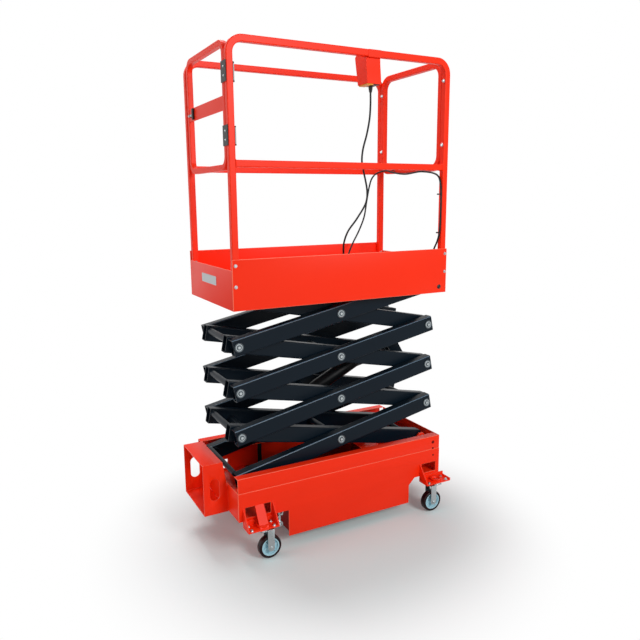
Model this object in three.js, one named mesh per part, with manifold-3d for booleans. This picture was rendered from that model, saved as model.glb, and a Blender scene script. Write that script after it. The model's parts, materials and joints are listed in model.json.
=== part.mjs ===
// Push-around scissor lift: a wheeled steel base, four scissor levels driven by one
// hydraulic cylinder, and a guarded platform with a swing gate.
// Millimetres, +Z up, +X towards the end where the arms are pinned (the front),
// -X towards the gate and the entry step. Z = 0 is the floor under the casters.
import * as THREE from 'three';
import { mergeVertices } from 'three/addons/utils/BufferGeometryUtils.js';
import Module from 'manifold-3d';

const wasm = await Module();
wasm.setup();

// ---------------------------------------------------------------- driving dimensions
// Clearances
const GAP = 0.3;                // between pieces that touch
const PIN_CLEARANCE = 0.7;      // radial, pin in its hole
const SIDE_CLEARANCE = 6;       // between arms that pass each other

// Platform tray
const TRAY_LENGTH = 1170;
const TRAY_WIDTH = 610;
const TRAY_DROP = 35;           // the tray's lower edge, below the top pins as parked
const SIDE_PANEL_HEIGHT = 226;
const END_PANEL_HEIGHT = 178;
const PANEL_SHEET = 4;
const DECK_HEIGHT = 88;         // deck underside above the tray's lower edge
const DECK_SHEET = 4;

// Guardrails
const RAIL_TUBE = 30;
const POST_INSET = 1;           // between a post and the end panel beside it
const RAIL_TOP = 1147;          // above the tray's lower edge
const RAIL_BEND = 75;           // outer radius of the bent corners
const MID_RAIL_TOP = 646;
const GATE_TUBE = 26;
const GATE_TOP = 1136;
const GATE_BOTTOM = 604;
const GATE_BEND = 62;
const GATE_BAND_TOP = 910;
const GATE_BAND_HEIGHT = 60;
const GATE_BAND_SHEET = 6;
const GATE_BAND_INSET = 2;
const GATE_INSET = 3;           // behind the rear panel's inner face
const GATE_SIDE_GAP = 9;        // between the gate and the posts

// Scissor
const LEVELS = 4;
const PIN_SPAN = 1075;          // along X, between the end pins of a level as parked
const LEVEL_RISE = 217;         // height of one level as parked
const FIRST_PIN_HEIGHT = 357;   // the base's pivots, above the floor
const REAR_PIN_X = 50;          // the sliding end as parked, from the tray's rear end
const ARM_HEIGHT = 80;
const ARM_WIDTH = 50;
const ARM_WALL = 4;
const ARM_OUTER_Y = 225;        // outer face of the outer arms, from the centre plane
const ARM_END = 26;             // arm beyond its end pins
const INNER_REAR_END = 42;      // inner arm beyond its rear pins
const TOP_REAR_END = 14;        // top inner arm beyond its rear pins, clear of the toe board
const ARM_CHAMFER = 32;         // corner cut where an arm turns beside a wall
const PIN_RADIUS = 15;
const PIN_TIP = 4;              // pin beyond its lug
const HEAD_RADIUS = 22;
const HEAD_HEIGHT = 7;
const CROSS_RADIUS = 16;
const REAR_CROSS = { back: 22, rise: 14 };      // rear cross tube, behind and above the rear pins
const TOP_REAR_CROSS = { back: -45, rise: 0 };  // the same on the top level
const FRONT_CROSS = 48;         // front cross tube, behind the front pins
const LOWEST_BRACE = { rear: 58, front: 92, low: -30, high: 2 };  // plate ahead of the rear pins
const TIE_BACK = 19;            // tie tube of the sliding arms, behind and above their pins
const TIE_RISE = 28;
const TIE_RADIUS = 13;

// Slide rollers and their tracks
const ROLLER_RADIUS = 22;
const ROLLER_WIDTH = 44;
const SLIDE_SHAFT_RADIUS = 12;
const ROLLER_CLEARANCE = 0.5;   // above its track
const ROLLER_HEADROOM = 4;      // below the track's upper flange
const SHAFT_END = 5;            // slide shaft beyond its arm's far side
const TRACK_SHEET = 4;
const TRACK_CLEARANCE = 5;      // between a pin's head and a track
const TRACK_INSET = 8;          // between a track and the tray's side
const TRACK_UPPER_SETBACK = 10; // of the upper flange's edge
const LUG_SHEET = 9;
const LUG_REAR = 36;            // tray lug behind and ahead of its pin
const LUG_FRONT = 34;

// Base
const BASE_LENGTH = 1170;
const BASE_WIDTH = 590;
const BASE_OVERLAP = -5;        // the base's rear end, from the tray's rear end
const BASE_TOP = 403;
const BASE_BOTTOM = 190;
const REAR_WALL_TOP = 330;
const SKIRT_BOTTOM = 54;
const SKIRT_REAR = 257;         // from the base's rear end
const SKIRT_FRONT = 199;        // from the base's front end
const SKIRT_CHAMFER = 36;
const BASE_SHEET = 4;
const RAIL_FLANGE = 45;         // width of the side rail's top flange
const WINDOW_INSET = 14;        // opening behind a caster bracket, from the bracket's ends
const WINDOW_FRONT_MARGIN = 24; // and from the base's front end
const WINDOW_FOOT = 14;         // above the base's lower edge
const WINDOW_HEIGHT = 52;
const PIVOT_LUG_SHEET = 12;
const PIVOT_LUG_REAR = 40;      // foot of the lug, behind the pin
const PIVOT_LUG_FRONT = 34;
const PIVOT_LUG_SHOULDER = 28;
const PIVOT_LUG_SHOULDER_RISE = 10;
const PIVOT_LUG_TIP = 14;
const TRAY_WELL_DEPTH = 112;    // the equipment well, below the base floor
const BATTERY_INSET = 60;       // from the well's rear end
const BATTERY_LENGTH = 260;
const BATTERY_WIDTH = 350;
const BATTERY_HEIGHT = 180;
const PUMP_INSET = 380;         // from the well's rear end
const PUMP_MARGIN = 70;         // from the well's front end
const PUMP_WIDTH = 220;
const PUMP_HEIGHT = 160;

// Entry step
const STEP_DEPTH = 119;
const STEP_WIDTH = 310;
const STEP_TOP = 442;
const STEP_BOTTOM = 186;
const STEP_SHEET = 5;
const STEP_TOP_DEPTH = 98;
const STEP_HOLE_WIDTH = 48;
const STEP_HOLE_HEIGHT = 110;
const STEP_HOLE_BACK = 5;       // behind the middle of the step's depth
const STEP_HOLE_DROP = 3;       // below the middle of its height
const STEP_CHEEK_DROP = 30;     // front corner of a cheek, below the rear wall's top

// Casters and their brackets
const BRACKET_LENGTH = 156;
const BRACKET_BACK = 5;         // a bracket's middle, behind its kingpin
const BRACKET_REACH = 70;       // beyond the base's side
const BRACKET_SHEET = 6;
const BRACKET_HEIGHT = 166;     // top of the bracket's plate
const GUSSET_TIP = 6;           // height of a gusset at the plate's outer edge
const GUSSET_RISE = 96;         // and beside the base
const FRONT_LIP = 9;            // rise of the front brackets' front edge
const BOSS_RADIUS = 26;
const BOSS_RISE = 9;
const BOSS_RECESS_RADIUS = 18;
const KINGPIN_Y = 333;
const REAR_KINGPIN = 103;       // from the base's rear end
const FRONT_KINGPIN = 47;       // from the base's front end
const KINGPIN_RADIUS = 8;
const TYRE_RADIUS = 57;
const TYRE_WIDTH = 34;
const RIM_RADIUS = 44;
const RIM_INSET = 1.5;          // from the tyre's sides
const RIM_LIP = 5;
const WHEEL_WEB_HALF = 5;
const TYRE_SHOULDER = 5;
const HUB_RADIUS = 14;
const HUB_REACH = 2;            // beyond the tyre's sides
const AXLE_RADIUS = 6;
const AXLE_END = 5;             // axle beyond the fork's leg
const CASTER_TRAIL = 32;
const FORK_SHEET = 4;
const FORK_WIDTH = 34;
const FORK_LEG_GAP = 6;         // between the tyre's side and a leg
const FORK_CROWN_REACH = 20;    // crown beyond the kingpin
const RACE_RADIUS = 27;
const RACE_HEIGHT = 8.5;
const RACE_CLEARANCE = 1.5;     // below the bracket's plate

// Hydraulic cylinder: from the second inner frame to the third
const BARREL_PIVOT = 615;       // along the second inner frame, from its front pins
const BARREL_PIVOT_DROP = 33;   // below that frame's centre line
const ROD_PIVOT = 138;          // along the third inner frame, from its front pins
const ROD_PIVOT_RISE = 92.5;    // above that frame's centre line
const BARREL_RADIUS = 37;
const BARREL_LENGTH = 440;
const ROD_RADIUS = 20;
const ROD_TAIL = 285;           // rod behind its eye
const EYE_RADIUS = 32;
const EYE_WIDTH = 40;
const EYE_PIN_RADIUS = 20;
const BARREL_EYE_WALL = 4;      // barrel's eye, beyond the rod's
const ROD_EYE_INSET = 6;
const BARREL_NECK = 30;         // barrel's rear end, from its pivot
const GLAND_RING = 4;           // ring at the barrel's mouth, beyond the barrel
const GLAND_RING_LENGTH = 40;
const ROD_BORE_DEPTH = 45;      // room behind the rod's tail
const ROD_LUG_GAP = 3;
const ROD_LUG_SHEET = 10;
const ROD_LUG_ROOT = 30;
const ROD_LUG_TIP = 34;

// Control box and its lead
const BOX_X = 686;
const BOX_LENGTH = 76;
const BOX_TOP = 1146;           // above the tray's lower edge, as the rails are
const BOX_BOTTOM = 1000;
const BOX_DEPTH_TOP = 82;
const BOX_DEPTH_BOTTOM = 56;
const GLAND_X = 735;
const GLAND_INSET = 22;         // from the face beside the rail
const GLAND_NUT_RADIUS = 11;
const GLAND_NUT_HEIGHT = 14;
const GLAND_NECK_RADIUS = 7.5;
const GLAND_NECK_HEIGHT = 18;
const CORD_RADIUS = 4.5;
const BOX_CHAMFER = 20;
const LEAD_STANDOFF = 1.5;      // between the tied lead and the tube it runs along

// Gate hinges
const HINGE_HEIGHTS = { upper: 1000, lower: 745 };  // above the tray's lower edge
const HINGE_LENGTH = 80;
const HINGE_LEAF_WIDTH = 22;
const HINGE_LEAF_SHEET = 3;
const KNUCKLE_RADIUS = 7;
const KNUCKLE_LENGTH = 76;

// ---------------------------------------------------------------- derived places
function bracketEnds(kingpinX) {
  const middle = kingpinX - BRACKET_BACK;
  return [middle - BRACKET_LENGTH / 2, middle + BRACKET_LENGTH / 2];
}

const armAngle = Math.asin(LEVEL_RISE / Math.hypot(PIN_SPAN, LEVEL_RISE));
const armLength = Math.hypot(PIN_SPAN, LEVEL_RISE);
const frontPinX = REAR_PIN_X + PIN_SPAN;
const centrePinX = REAR_PIN_X + PIN_SPAN / 2;
const topPinHeight = FIRST_PIN_HEIGHT + LEVELS * LEVEL_RISE;
const outerInnerFace = ARM_OUTER_Y - ARM_WIDTH;
const innerOuterFace = outerInnerFace - SIDE_CLEARANCE;
const innerInnerFace = innerOuterFace - ARM_WIDTH;
const trackInnerFace = ARM_OUTER_Y + HEAD_HEIGHT + TRACK_CLEARANCE;
const baseRear = BASE_OVERLAP;
const baseFront = BASE_OVERLAP + BASE_LENGTH;
const baseSide = BASE_WIDTH / 2;
const traySide = TRAY_WIDTH / 2;
const trayBottom = topPinHeight - TRAY_DROP;
const deckTop = trayBottom + DECK_HEIGHT + DECK_SHEET;
const postRear = PANEL_SHEET + POST_INSET;
const postFront = TRAY_LENGTH - PANEL_SHEET - POST_INSET;
const railOuterFace = traySide - PANEL_SHEET - GAP;
const railInnerFace = railOuterFace - RAIL_TUBE;
const modelRear = baseRear - GAP - STEP_DEPTH;
const modelFront = bracketEnds(baseFront - FRONT_KINGPIN)[1];

// ---------------------------------------------------------------- materials
function finish(color, roughness, metalness) {
  return new THREE.MeshStandardMaterial({ color, roughness, metalness });
}
const redPaint = finish(0xe8391d, 0.45, 0.0);
const armPaint = finish(0x27323a, 0.5, 0.0);
const zinc = finish(0xb4b9ba, 0.35, 0.9);
const rimPaint = finish(0x9fb9c4, 0.45, 0.1);
const tyreRubber = finish(0x221012, 0.75, 0.0);
const blackPlastic = finish(0x17181a, 0.6, 0.0);
const chrome = finish(0xd6dadc, 0.15, 1.0);

// ---------------------------------------------------------------- shape helpers
// A closed geometry becomes a solid that can be joined and cut.
function solid(geometry) {
  geometry.deleteAttribute('normal');
  geometry.deleteAttribute('uv');
  const merged = mergeVertices(geometry, 1e-4);
  return new wasm.Manifold(new wasm.Mesh({
    numProp: 3,
    vertProperties: new Float32Array(merged.attributes.position.array),
    triVerts: new Uint32Array(merged.index.array),
  }));
}

function join(first, ...others) {
  return others.reduce((whole, other) => whole.add(other), first);
}

function block(x0, x1, y0, y1, z0, z1) {
  const box = new THREE.BoxGeometry(x1 - x0, y1 - y0, z1 - z0);
  box.translate((x0 + x1) / 2, (y0 + y1) / 2, (z0 + z1) / 2);
  return solid(box);
}

// A round bar along Y from y0 to y1, centred on (x, z).
function barY(x, z, radius, y0, y1, segments = 12) {
  const bar = new THREE.CylinderGeometry(radius, radius, Math.abs(y1 - y0), segments);
  bar.translate(x, (y0 + y1) / 2, z);
  return solid(bar);
}

function barZ(x, y, radius, z0, z1, segments = 12) {
  const bar = new THREE.CylinderGeometry(radius, radius, z1 - z0, segments);
  bar.rotateX(Math.PI / 2);
  bar.translate(x, y, (z0 + z1) / 2);
  return solid(bar);
}

function barX(y, z, radius, x0, x1, segments = 24) {
  const bar = new THREE.CylinderGeometry(radius, radius, x1 - x0, segments);
  bar.rotateZ(Math.PI / 2);
  bar.translate((x0 + x1) / 2, y, z);
  return solid(bar);
}

const PLANES = {
  xz: new THREE.Matrix4().makeBasis(
    new THREE.Vector3(1, 0, 0), new THREE.Vector3(0, 0, 1), new THREE.Vector3(0, -1, 0)),
  yz: new THREE.Matrix4().makeBasis(
    new THREE.Vector3(0, 1, 0), new THREE.Vector3(0, 0, 1), new THREE.Vector3(1, 0, 0)),
};

// An outline in the XZ plane, given thickness along Y from y0 up to y1.
function slabXZ(shape, y0, y1, curveSegments = 8) {
  const slab = new THREE.ExtrudeGeometry(shape, { depth: y1 - y0, bevelEnabled: false, curveSegments });
  slab.applyMatrix4(PLANES.xz);
  slab.translate(0, y1, 0);
  return solid(slab);
}

// An outline in the YZ plane, given thickness along X from x0 up to x1.
function slabYZ(shape, x0, x1, curveSegments = 8) {
  const slab = new THREE.ExtrudeGeometry(shape, { depth: x1 - x0, bevelEnabled: false, curveSegments });
  slab.applyMatrix4(PLANES.yz);
  slab.translate(x0, 0, 0);
  return solid(slab);
}

function polygon(points) {
  return new THREE.Shape(points.map(([u, v]) => new THREE.Vector2(u, v)));
}

function roundedRectangle(u0, u1, v0, v1, radius) {
  const shape = new THREE.Shape();
  shape.moveTo(u0 + radius, v0);
  shape.lineTo(u1 - radius, v0);
  shape.absarc(u1 - radius, v0 + radius, radius, -Math.PI / 2, 0, false);
  shape.lineTo(u1, v1 - radius);
  shape.absarc(u1 - radius, v1 - radius, radius, 0, Math.PI / 2, false);
  shape.lineTo(u0 + radius, v1);
  shape.absarc(u0 + radius, v1 - radius, radius, Math.PI / 2, Math.PI, false);
  shape.lineTo(u0, v0 + radius);
  shape.absarc(u0 + radius, v0 + radius, radius, Math.PI, 1.5 * Math.PI, false);
  return shape;
}

// A post, a bent corner, a straight run, a bent corner and a post: one bent tube.
function archOutline(u0, u1, foot, top, radius, tube) {
  const inner = radius - tube;
  const shape = new THREE.Shape();
  shape.moveTo(u0, foot);
  shape.lineTo(u0 + tube, foot);
  shape.lineTo(u0 + tube, top - radius);
  shape.absarc(u0 + radius, top - radius, inner, Math.PI, Math.PI / 2, true);
  shape.lineTo(u1 - radius, top - tube);
  shape.absarc(u1 - radius, top - radius, inner, Math.PI / 2, 0, true);
  shape.lineTo(u1 - tube, foot);
  shape.lineTo(u1, foot);
  shape.lineTo(u1, top - radius);
  shape.absarc(u1 - radius, top - radius, radius, 0, Math.PI / 2, false);
  shape.lineTo(u0 + radius, top);
  shape.absarc(u0 + radius, top - radius, radius, Math.PI / 2, Math.PI, false);
  return shape;
}

const model = new THREE.Group();
model.position.x = -(modelRear + modelFront) / 2;

function piece(name, shape, material, parent = model) {
  const { vertProperties, triVerts } = shape.getMesh();
  const geometry = new THREE.BufferGeometry();
  geometry.setAttribute('position', new THREE.BufferAttribute(new Float32Array(vertProperties), 3));
  geometry.setIndex(new THREE.BufferAttribute(new Uint32Array(triVerts), 1));
  geometry.computeVertexNormals();
  const mesh = new THREE.Mesh(geometry, material);
  mesh.name = name;
  parent.add(mesh);
  return mesh;
}

// Facing +X, the right-hand side is -Y.
const SIDES = [['right', -1], ['left', 1]];

// Spans the same distances from the centre plane on either side.
function span(sign, near, far) {
  return sign > 0 ? [near, far] : [-far, -near];
}

// ---------------------------------------------------------------- base
// A window in the side plate behind each caster bracket.
function sideWindows(sign) {
  return casterPlaces().map(({ x }) => block(
    bracketEnds(x)[0] + WINDOW_INSET,
    Math.min(bracketEnds(x)[1] - WINDOW_INSET, baseFront - WINDOW_FRONT_MARGIN),
    ...span(sign, baseSide - BASE_SHEET - 1, baseSide + 1),
    BASE_BOTTOM + WINDOW_FOOT, BASE_BOTTOM + WINDOW_FOOT + WINDOW_HEIGHT));
}

function buildBase() {
  const floorTop = BASE_BOTTOM + BASE_SHEET;
  const rollerFloor = FIRST_PIN_HEIGHT - ROLLER_RADIUS - ROLLER_CLEARANCE;
  const railBottom = rollerFloor - TRACK_SHEET;
  const plateTop = railBottom - GAP;
  const skirtRear = baseRear + SKIRT_REAR;
  const skirtFront = baseFront - SKIRT_FRONT;
  const flangeEdge = baseSide - RAIL_FLANGE;

  for (const [side, sign] of SIDES) {
    // Side rail: a channel open towards the arms, whose lower flange carries the roller.
    const top = block(baseRear, baseFront, ...span(sign, flangeEdge, baseSide),
      BASE_TOP - TRACK_SHEET, BASE_TOP);
    const web = block(baseRear, baseFront, ...span(sign, baseSide - BASE_SHEET, baseSide),
      railBottom, BASE_TOP);
    const lower = block(baseRear, baseFront - BASE_SHEET - GAP, ...span(sign, trackInnerFace, baseSide),
      railBottom, rollerFloor);
    piece(`${side}_base_rail`, join(top, web, lower), redPaint);

    // Side plate with its low skirt, and an opening behind each caster bracket.
    const plate = slabXZ(polygon([
      [baseRear, BASE_BOTTOM], [skirtRear, BASE_BOTTOM], [skirtRear, SKIRT_BOTTOM],
      [skirtFront, SKIRT_BOTTOM], [skirtFront, BASE_BOTTOM - SKIRT_CHAMFER],
      [skirtFront + SKIRT_CHAMFER, BASE_BOTTOM], [baseFront, BASE_BOTTOM],
      [baseFront, plateTop], [baseRear, plateTop],
    ]), ...span(sign, baseSide - BASE_SHEET, baseSide));
    const cut = sideWindows(sign).reduce((whole, window) => whole.subtract(window), plate);
    piece(`${side}_side_plate`, cut, redPaint);
  }

  const inside = baseSide - BASE_SHEET - GAP;
  const frontSheet = baseFront - BASE_SHEET;
  piece('rear_wall', block(baseRear, baseRear + BASE_SHEET, -inside, inside, BASE_BOTTOM, plateTop), redPaint);
  const frontLower = block(frontSheet, baseFront, -inside, inside, BASE_BOTTOM, plateTop);
  const frontUpper = block(frontSheet, baseFront, -flangeEdge + GAP, flangeEdge - GAP, plateTop, BASE_TOP);
  piece('front_wall', frontLower.add(frontUpper), redPaint);

  // Floor, in two sheets on either side of the equipment well.
  piece('rear_floor',
    block(baseRear + BASE_SHEET + GAP, skirtRear, -inside, inside, BASE_BOTTOM, floorTop), redPaint);
  let front = block(skirtFront, frontSheet - GAP, -inside, inside, BASE_BOTTOM, floorTop);
  const shoulder = FIRST_PIN_HEIGHT + PIVOT_LUG_SHOULDER_RISE;
  const tip = FIRST_PIN_HEIGHT + PIVOT_LUG_SHOULDER;
  for (const [, sign] of SIDES) {
    const lug = polygon([
      [frontPinX - PIVOT_LUG_REAR, BASE_BOTTOM], [frontPinX + PIVOT_LUG_FRONT, BASE_BOTTOM],
      [frontPinX + PIVOT_LUG_SHOULDER, shoulder], [frontPinX + PIVOT_LUG_TIP, tip],
      [frontPinX - PIVOT_LUG_TIP, tip], [frontPinX - PIVOT_LUG_SHOULDER, shoulder],
    ]);
    const [y0, y1] = span(sign, outerInnerFace, outerInnerFace + PIVOT_LUG_SHEET);
    front = front.add(slabXZ(lug, y0, y1));
    front = front.subtract(barY(frontPinX, FIRST_PIN_HEIGHT, PIN_RADIUS + PIN_CLEARANCE, y0 - 5, y1 + 5));
  }
  piece('front_floor_and_pivot_lugs', front, redPaint);

  // Equipment well with the battery and the pump unit.
  const wellRear = skirtRear + GAP;
  const wellFront = skirtFront - GAP;
  const wellBottom = BASE_BOTTOM - TRAY_WELL_DEPTH;
  const well = block(wellRear, wellFront, -inside, inside, wellBottom, floorTop)
    .subtract(block(wellRear + BASE_SHEET, wellFront - BASE_SHEET,
      -inside + BASE_SHEET, inside - BASE_SHEET, wellBottom + BASE_SHEET, floorTop + BASE_SHEET));
  piece('equipment_well', well, redPaint);
  const foot = wellBottom + BASE_SHEET + GAP;
  const batteryRear = skirtRear + BATTERY_INSET;
  piece('battery_block', block(batteryRear, batteryRear + BATTERY_LENGTH,
    -BATTERY_WIDTH / 2, BATTERY_WIDTH / 2, foot, foot + BATTERY_HEIGHT), blackPlastic);
  piece('pump_block', block(skirtRear + PUMP_INSET, skirtFront - PUMP_MARGIN,
    -PUMP_WIDTH / 2, PUMP_WIDTH / 2, foot, foot + PUMP_HEIGHT), blackPlastic);
}

// Entry step: a box open to the rear, with a hand hole in each cheek.
function buildStep() {
  const stepRear = modelRear;
  const stepFront = baseRear - GAP;
  const topFront = stepRear + STEP_TOP_DEPTH;
  const half = STEP_WIDTH / 2;
  const cheek = (y0, y1) => slabXZ(polygon([
    [stepRear, STEP_BOTTOM], [stepFront, STEP_BOTTOM], [stepFront, REAR_WALL_TOP - STEP_CHEEK_DROP],
    [topFront, STEP_TOP], [stepRear, STEP_TOP],
  ]), y0, y1);
  const holeX = stepRear + STEP_DEPTH / 2 - STEP_HOLE_BACK;
  const holeZ = (STEP_TOP + STEP_BOTTOM) / 2 - STEP_HOLE_DROP;
  const holeHalf = STEP_HOLE_WIDTH / 2;
  const hole = slabXZ(roundedRectangle(holeX - holeHalf, holeX + holeHalf, holeZ - STEP_HOLE_HEIGHT / 2,
    holeZ + STEP_HOLE_HEIGHT / 2, holeHalf - 0.5), -half - 1, half + 1, 5);
  const step = join(
    block(stepRear, topFront, -half, half, STEP_TOP - STEP_SHEET, STEP_TOP),
    block(stepRear, stepFront, -half, half, STEP_BOTTOM, STEP_BOTTOM + STEP_SHEET),
    cheek(-half, -half + STEP_SHEET), cheek(half - STEP_SHEET, half)).subtract(hole);
  piece('entry_step', step, redPaint);
}

// ---------------------------------------------------------------- casters
function casterPlaces() {
  return [
    { end: 'rear', x: baseRear + REAR_KINGPIN, trail: CASTER_TRAIL },
    { end: 'front', x: baseFront - FRONT_KINGPIN, trail: -CASTER_TRAIL },
  ];
}

// A plate on the base's side, held by gussets, with the kingpin's boss in it. A front bracket
// reaches past the base, where a low lip takes the second gusset's place.
function buildCasterBracket(name, x, sign, atFront) {
  const [x0, x1] = bracketEnds(x);
  const outer = baseSide + BRACKET_REACH;
  const inner = 2 * KINGPIN_Y - outer - BRACKET_SHEET;
  const underside = BRACKET_HEIGHT - BRACKET_SHEET;
  const webTop = BASE_BOTTOM - GAP;
  const beside = sign * (baseSide + GAP);
  const plate = block(x0, x1, ...span(sign, inner, outer), underside, BRACKET_HEIGHT);
  const web = block(x0, x1, ...span(sign, inner, inner + BRACKET_SHEET), underside, webTop);
  let bracket = join(plate, web);
  for (const end of [x0, x1 - BRACKET_SHEET]) {
    const lip = atFront && end > x;
    const gusset = polygon([
      [beside, underside], [sign * outer, underside], [sign * outer, BRACKET_HEIGHT + (lip ? FRONT_LIP : GUSSET_TIP)],
      [beside, BRACKET_HEIGHT + (lip ? FRONT_LIP : GUSSET_RISE)],
    ]);
    bracket = bracket.add(slabYZ(gusset, end, end + BRACKET_SHEET));
    const underBase = block(end, end + BRACKET_SHEET, ...span(sign, inner, baseSide + 1), underside, webTop);
    bracket = bracket.add(underBase);
  }
  const kingpinY = sign * KINGPIN_Y;
  const bossTop = BRACKET_HEIGHT + BOSS_RISE;
  const boss = barZ(x, kingpinY, BOSS_RADIUS, underside, bossTop, 16);
  bracket = bracket.add(boss).subtract(barZ(x, kingpinY, BOSS_RECESS_RADIUS, BRACKET_HEIGHT, bossTop + 1, 16));
  bracket = bracket.subtract(barZ(x, kingpinY, KINGPIN_RADIUS + PIN_CLEARANCE, 0, bossTop + 1));
  piece(name, bracket, redPaint);
}

// A swivelling fork: kingpin, bearing race, crown, two legs and the wheel's axle.
function buildFork(name, x, y, trail) {
  const raceTop = BRACKET_HEIGHT - BRACKET_SHEET - RACE_CLEARANCE;
  const legTop = raceTop - RACE_HEIGHT;
  const legGap = TYRE_WIDTH / 2 + FORK_LEG_GAP;
  const axleX = x + trail;
  const half = FORK_WIDTH / 2;
  const crownRear = Math.min(x - FORK_CROWN_REACH, axleX - half);
  const crownFront = Math.max(x + FORK_CROWN_REACH, axleX + half);
  const kingpin = barZ(x, y, KINGPIN_RADIUS, legTop, BRACKET_HEIGHT + BRACKET_SHEET);
  const race = barZ(x, y, RACE_RADIUS, legTop, raceTop, 16);
  const crownPlate = block(crownRear, crownFront, y - legGap - FORK_SHEET, y + legGap + FORK_SHEET,
    legTop - FORK_SHEET, legTop);
  let fork = join(kingpin, race, crownPlate);
  for (const sign of [-1, 1]) {
    const leg = new THREE.Shape();
    leg.moveTo(axleX - half, TYRE_RADIUS);
    leg.absarc(axleX, TYRE_RADIUS, half, Math.PI, 2 * Math.PI, false);
    leg.lineTo(axleX + half, legTop);
    leg.lineTo(axleX - half, legTop);
    const [y0, y1] = span(sign, legGap, legGap + FORK_SHEET);
    fork = fork.add(slabXZ(leg, y + y0, y + y1));
  }
  const axleHalf = legGap + FORK_SHEET + AXLE_END;
  fork = fork.add(barY(axleX, TYRE_RADIUS, AXLE_RADIUS, y - axleHalf, y + axleHalf));
  piece(name, fork, zinc);
}

// Profile points are [radius, offset along the axle], turned about the axle.
function turned(profile, x, y, segments) {
  const shape = new THREE.LatheGeometry(profile.map(([r, h]) => new THREE.Vector2(r, h)), segments);
  shape.translate(x, y, TYRE_RADIUS);
  return solid(shape);
}

function buildWheel(prefix, x, y) {
  const half = TYRE_WIDTH / 2;
  const rimHalf = half - RIM_INSET;
  const hubHalf = half + HUB_REACH;
  const bore = AXLE_RADIUS + PIN_CLEARANCE;
  const lip = RIM_RADIUS - RIM_LIP;
  const root = lip - 2;
  const rim = [
    [bore, -hubHalf], [HUB_RADIUS, -hubHalf], [HUB_RADIUS, -WHEEL_WEB_HALF],
    [root, -WHEEL_WEB_HALF], [lip, -rimHalf], [RIM_RADIUS, -rimHalf],
    [RIM_RADIUS, rimHalf], [lip, rimHalf], [root, WHEEL_WEB_HALF],
    [HUB_RADIUS, WHEEL_WEB_HALF], [HUB_RADIUS, hubHalf], [bore, hubHalf],
    [bore, -hubHalf],
  ];
  const inner = RIM_RADIUS + GAP;
  const shoulder = TYRE_RADIUS - TYRE_SHOULDER;
  const tyre = [
    [inner, -half + 1], [shoulder, -half], [TYRE_RADIUS - 1.2, -half + TYRE_SHOULDER - 0.5],
    [TYRE_RADIUS, -half + 9], [TYRE_RADIUS, half - 9],
    [TYRE_RADIUS - 1.2, half - TYRE_SHOULDER + 0.5], [shoulder, half], [inner, half - 1],
    [inner, -half + 1],
  ];
  piece(`${prefix}_rim`, turned(rim, x, y, 20), rimPaint);
  piece(`${prefix}_tyre`, turned(tyre, x, y, 32), tyreRubber);
}

function buildCasters() {
  for (const [side, sign] of SIDES) {
    for (const { end, x, trail } of casterPlaces()) {
      const prefix = `${side}_${end}`;
      buildCasterBracket(`${prefix}_caster_bracket`, x, sign, end === 'front');
      buildFork(`${prefix}_caster_fork`, x, sign * KINGPIN_Y, trail);
      buildWheel(prefix, x + trail, sign * KINGPIN_Y);
    }
  }
}

// ---------------------------------------------------------------- scissor
// Each arm is made about its centre pin, lying along local X, then turned into place.
function levelGroup(level, slope) {
  const group = new THREE.Group();
  group.position.set(centrePinX, 0, FIRST_PIN_HEIGHT + (level - 0.5) * LEVEL_RISE);
  group.rotation.y = -slope * armAngle;
  model.add(group);
  return group;
}

// A rectangular tube along X, open at both ends, between two distances on one side.
// A chamfer of +1 or -1 cuts the upper or lower corner of its front end.
function armTube(x0, x1, sign, near, far, chamfer = 0) {
  const half = ARM_HEIGHT / 2;
  const cutAbove = chamfer > 0 ? ARM_CHAMFER : 0;
  const cutBelow = chamfer < 0 ? ARM_CHAMFER : 0;
  const outline = [
    [x0, -half], [x1 - cutBelow, -half], [x1, -half + cutBelow],
    [x1, half - cutAbove], [x1 - cutAbove, half], [x0, half],
  ];
  const distinct = outline.filter(([u, v], i) => i === 0 || u !== outline[i - 1][0] || v !== outline[i - 1][1]);
  const outside = slabXZ(polygon(distinct), ...span(sign, near, far));
  const hollow = block(x0 - 1, x1 + 1, ...span(sign, near + ARM_WALL, far - ARM_WALL),
    -half + ARM_WALL, half - ARM_WALL);
  return outside.subtract(hollow);
}

function buildOuterArms(level) {
  const group = levelGroup(level, 1);
  const reach = armLength / 2;
  const head = ARM_OUTER_Y + HEAD_HEIGHT;
  const pinEnd = innerInnerFace + ARM_WALL / 2;
  for (const [side, sign] of SIDES) {
    const chamfer = level === LEVELS ? -1 : 0;
    let arm = armTube(-reach - ARM_END, reach + ARM_END, sign, outerInnerFace, ARM_OUTER_Y, chamfer);
    for (const place of [-reach, 0, reach]) {
      const slides = level === 1 && place < 0;
      const pinnedToTray = level === LEVELS && place > 0;
      if (slides) {
        const roller = trackInnerFace + 1;
        arm = join(arm,
          barY(place, 0, SLIDE_SHAFT_RADIUS, ...span(sign, outerInnerFace + 1, roller + SHAFT_END)),
          barY(place, 0, ROLLER_RADIUS, ...span(sign, roller, roller + ROLLER_WIDTH), 24));
      } else if (pinnedToTray) {
        const pinTip = trackInnerFace + LUG_SHEET + PIN_TIP;
        arm = arm.add(barY(place, 0, PIN_RADIUS, ...span(sign, outerInnerFace + 1, pinTip)));
      } else {
        arm = join(arm,
          barY(place, 0, PIN_RADIUS, ...span(sign, pinEnd, head - 1)),
          barY(place, 0, HEAD_RADIUS, ...span(sign, ARM_OUTER_Y - 1, head), 16));
      }
    }
    piece(`${side}_outer_arm_${level}`, arm, armPaint, group);
  }
  if (level === 1) {
    const tie = barY(-reach - TIE_BACK, TIE_RISE, TIE_RADIUS, -outerInnerFace + GAP, outerInnerFace - GAP);
    piece('slide_tie_tube', tie, armPaint, group);
  }
}

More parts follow.
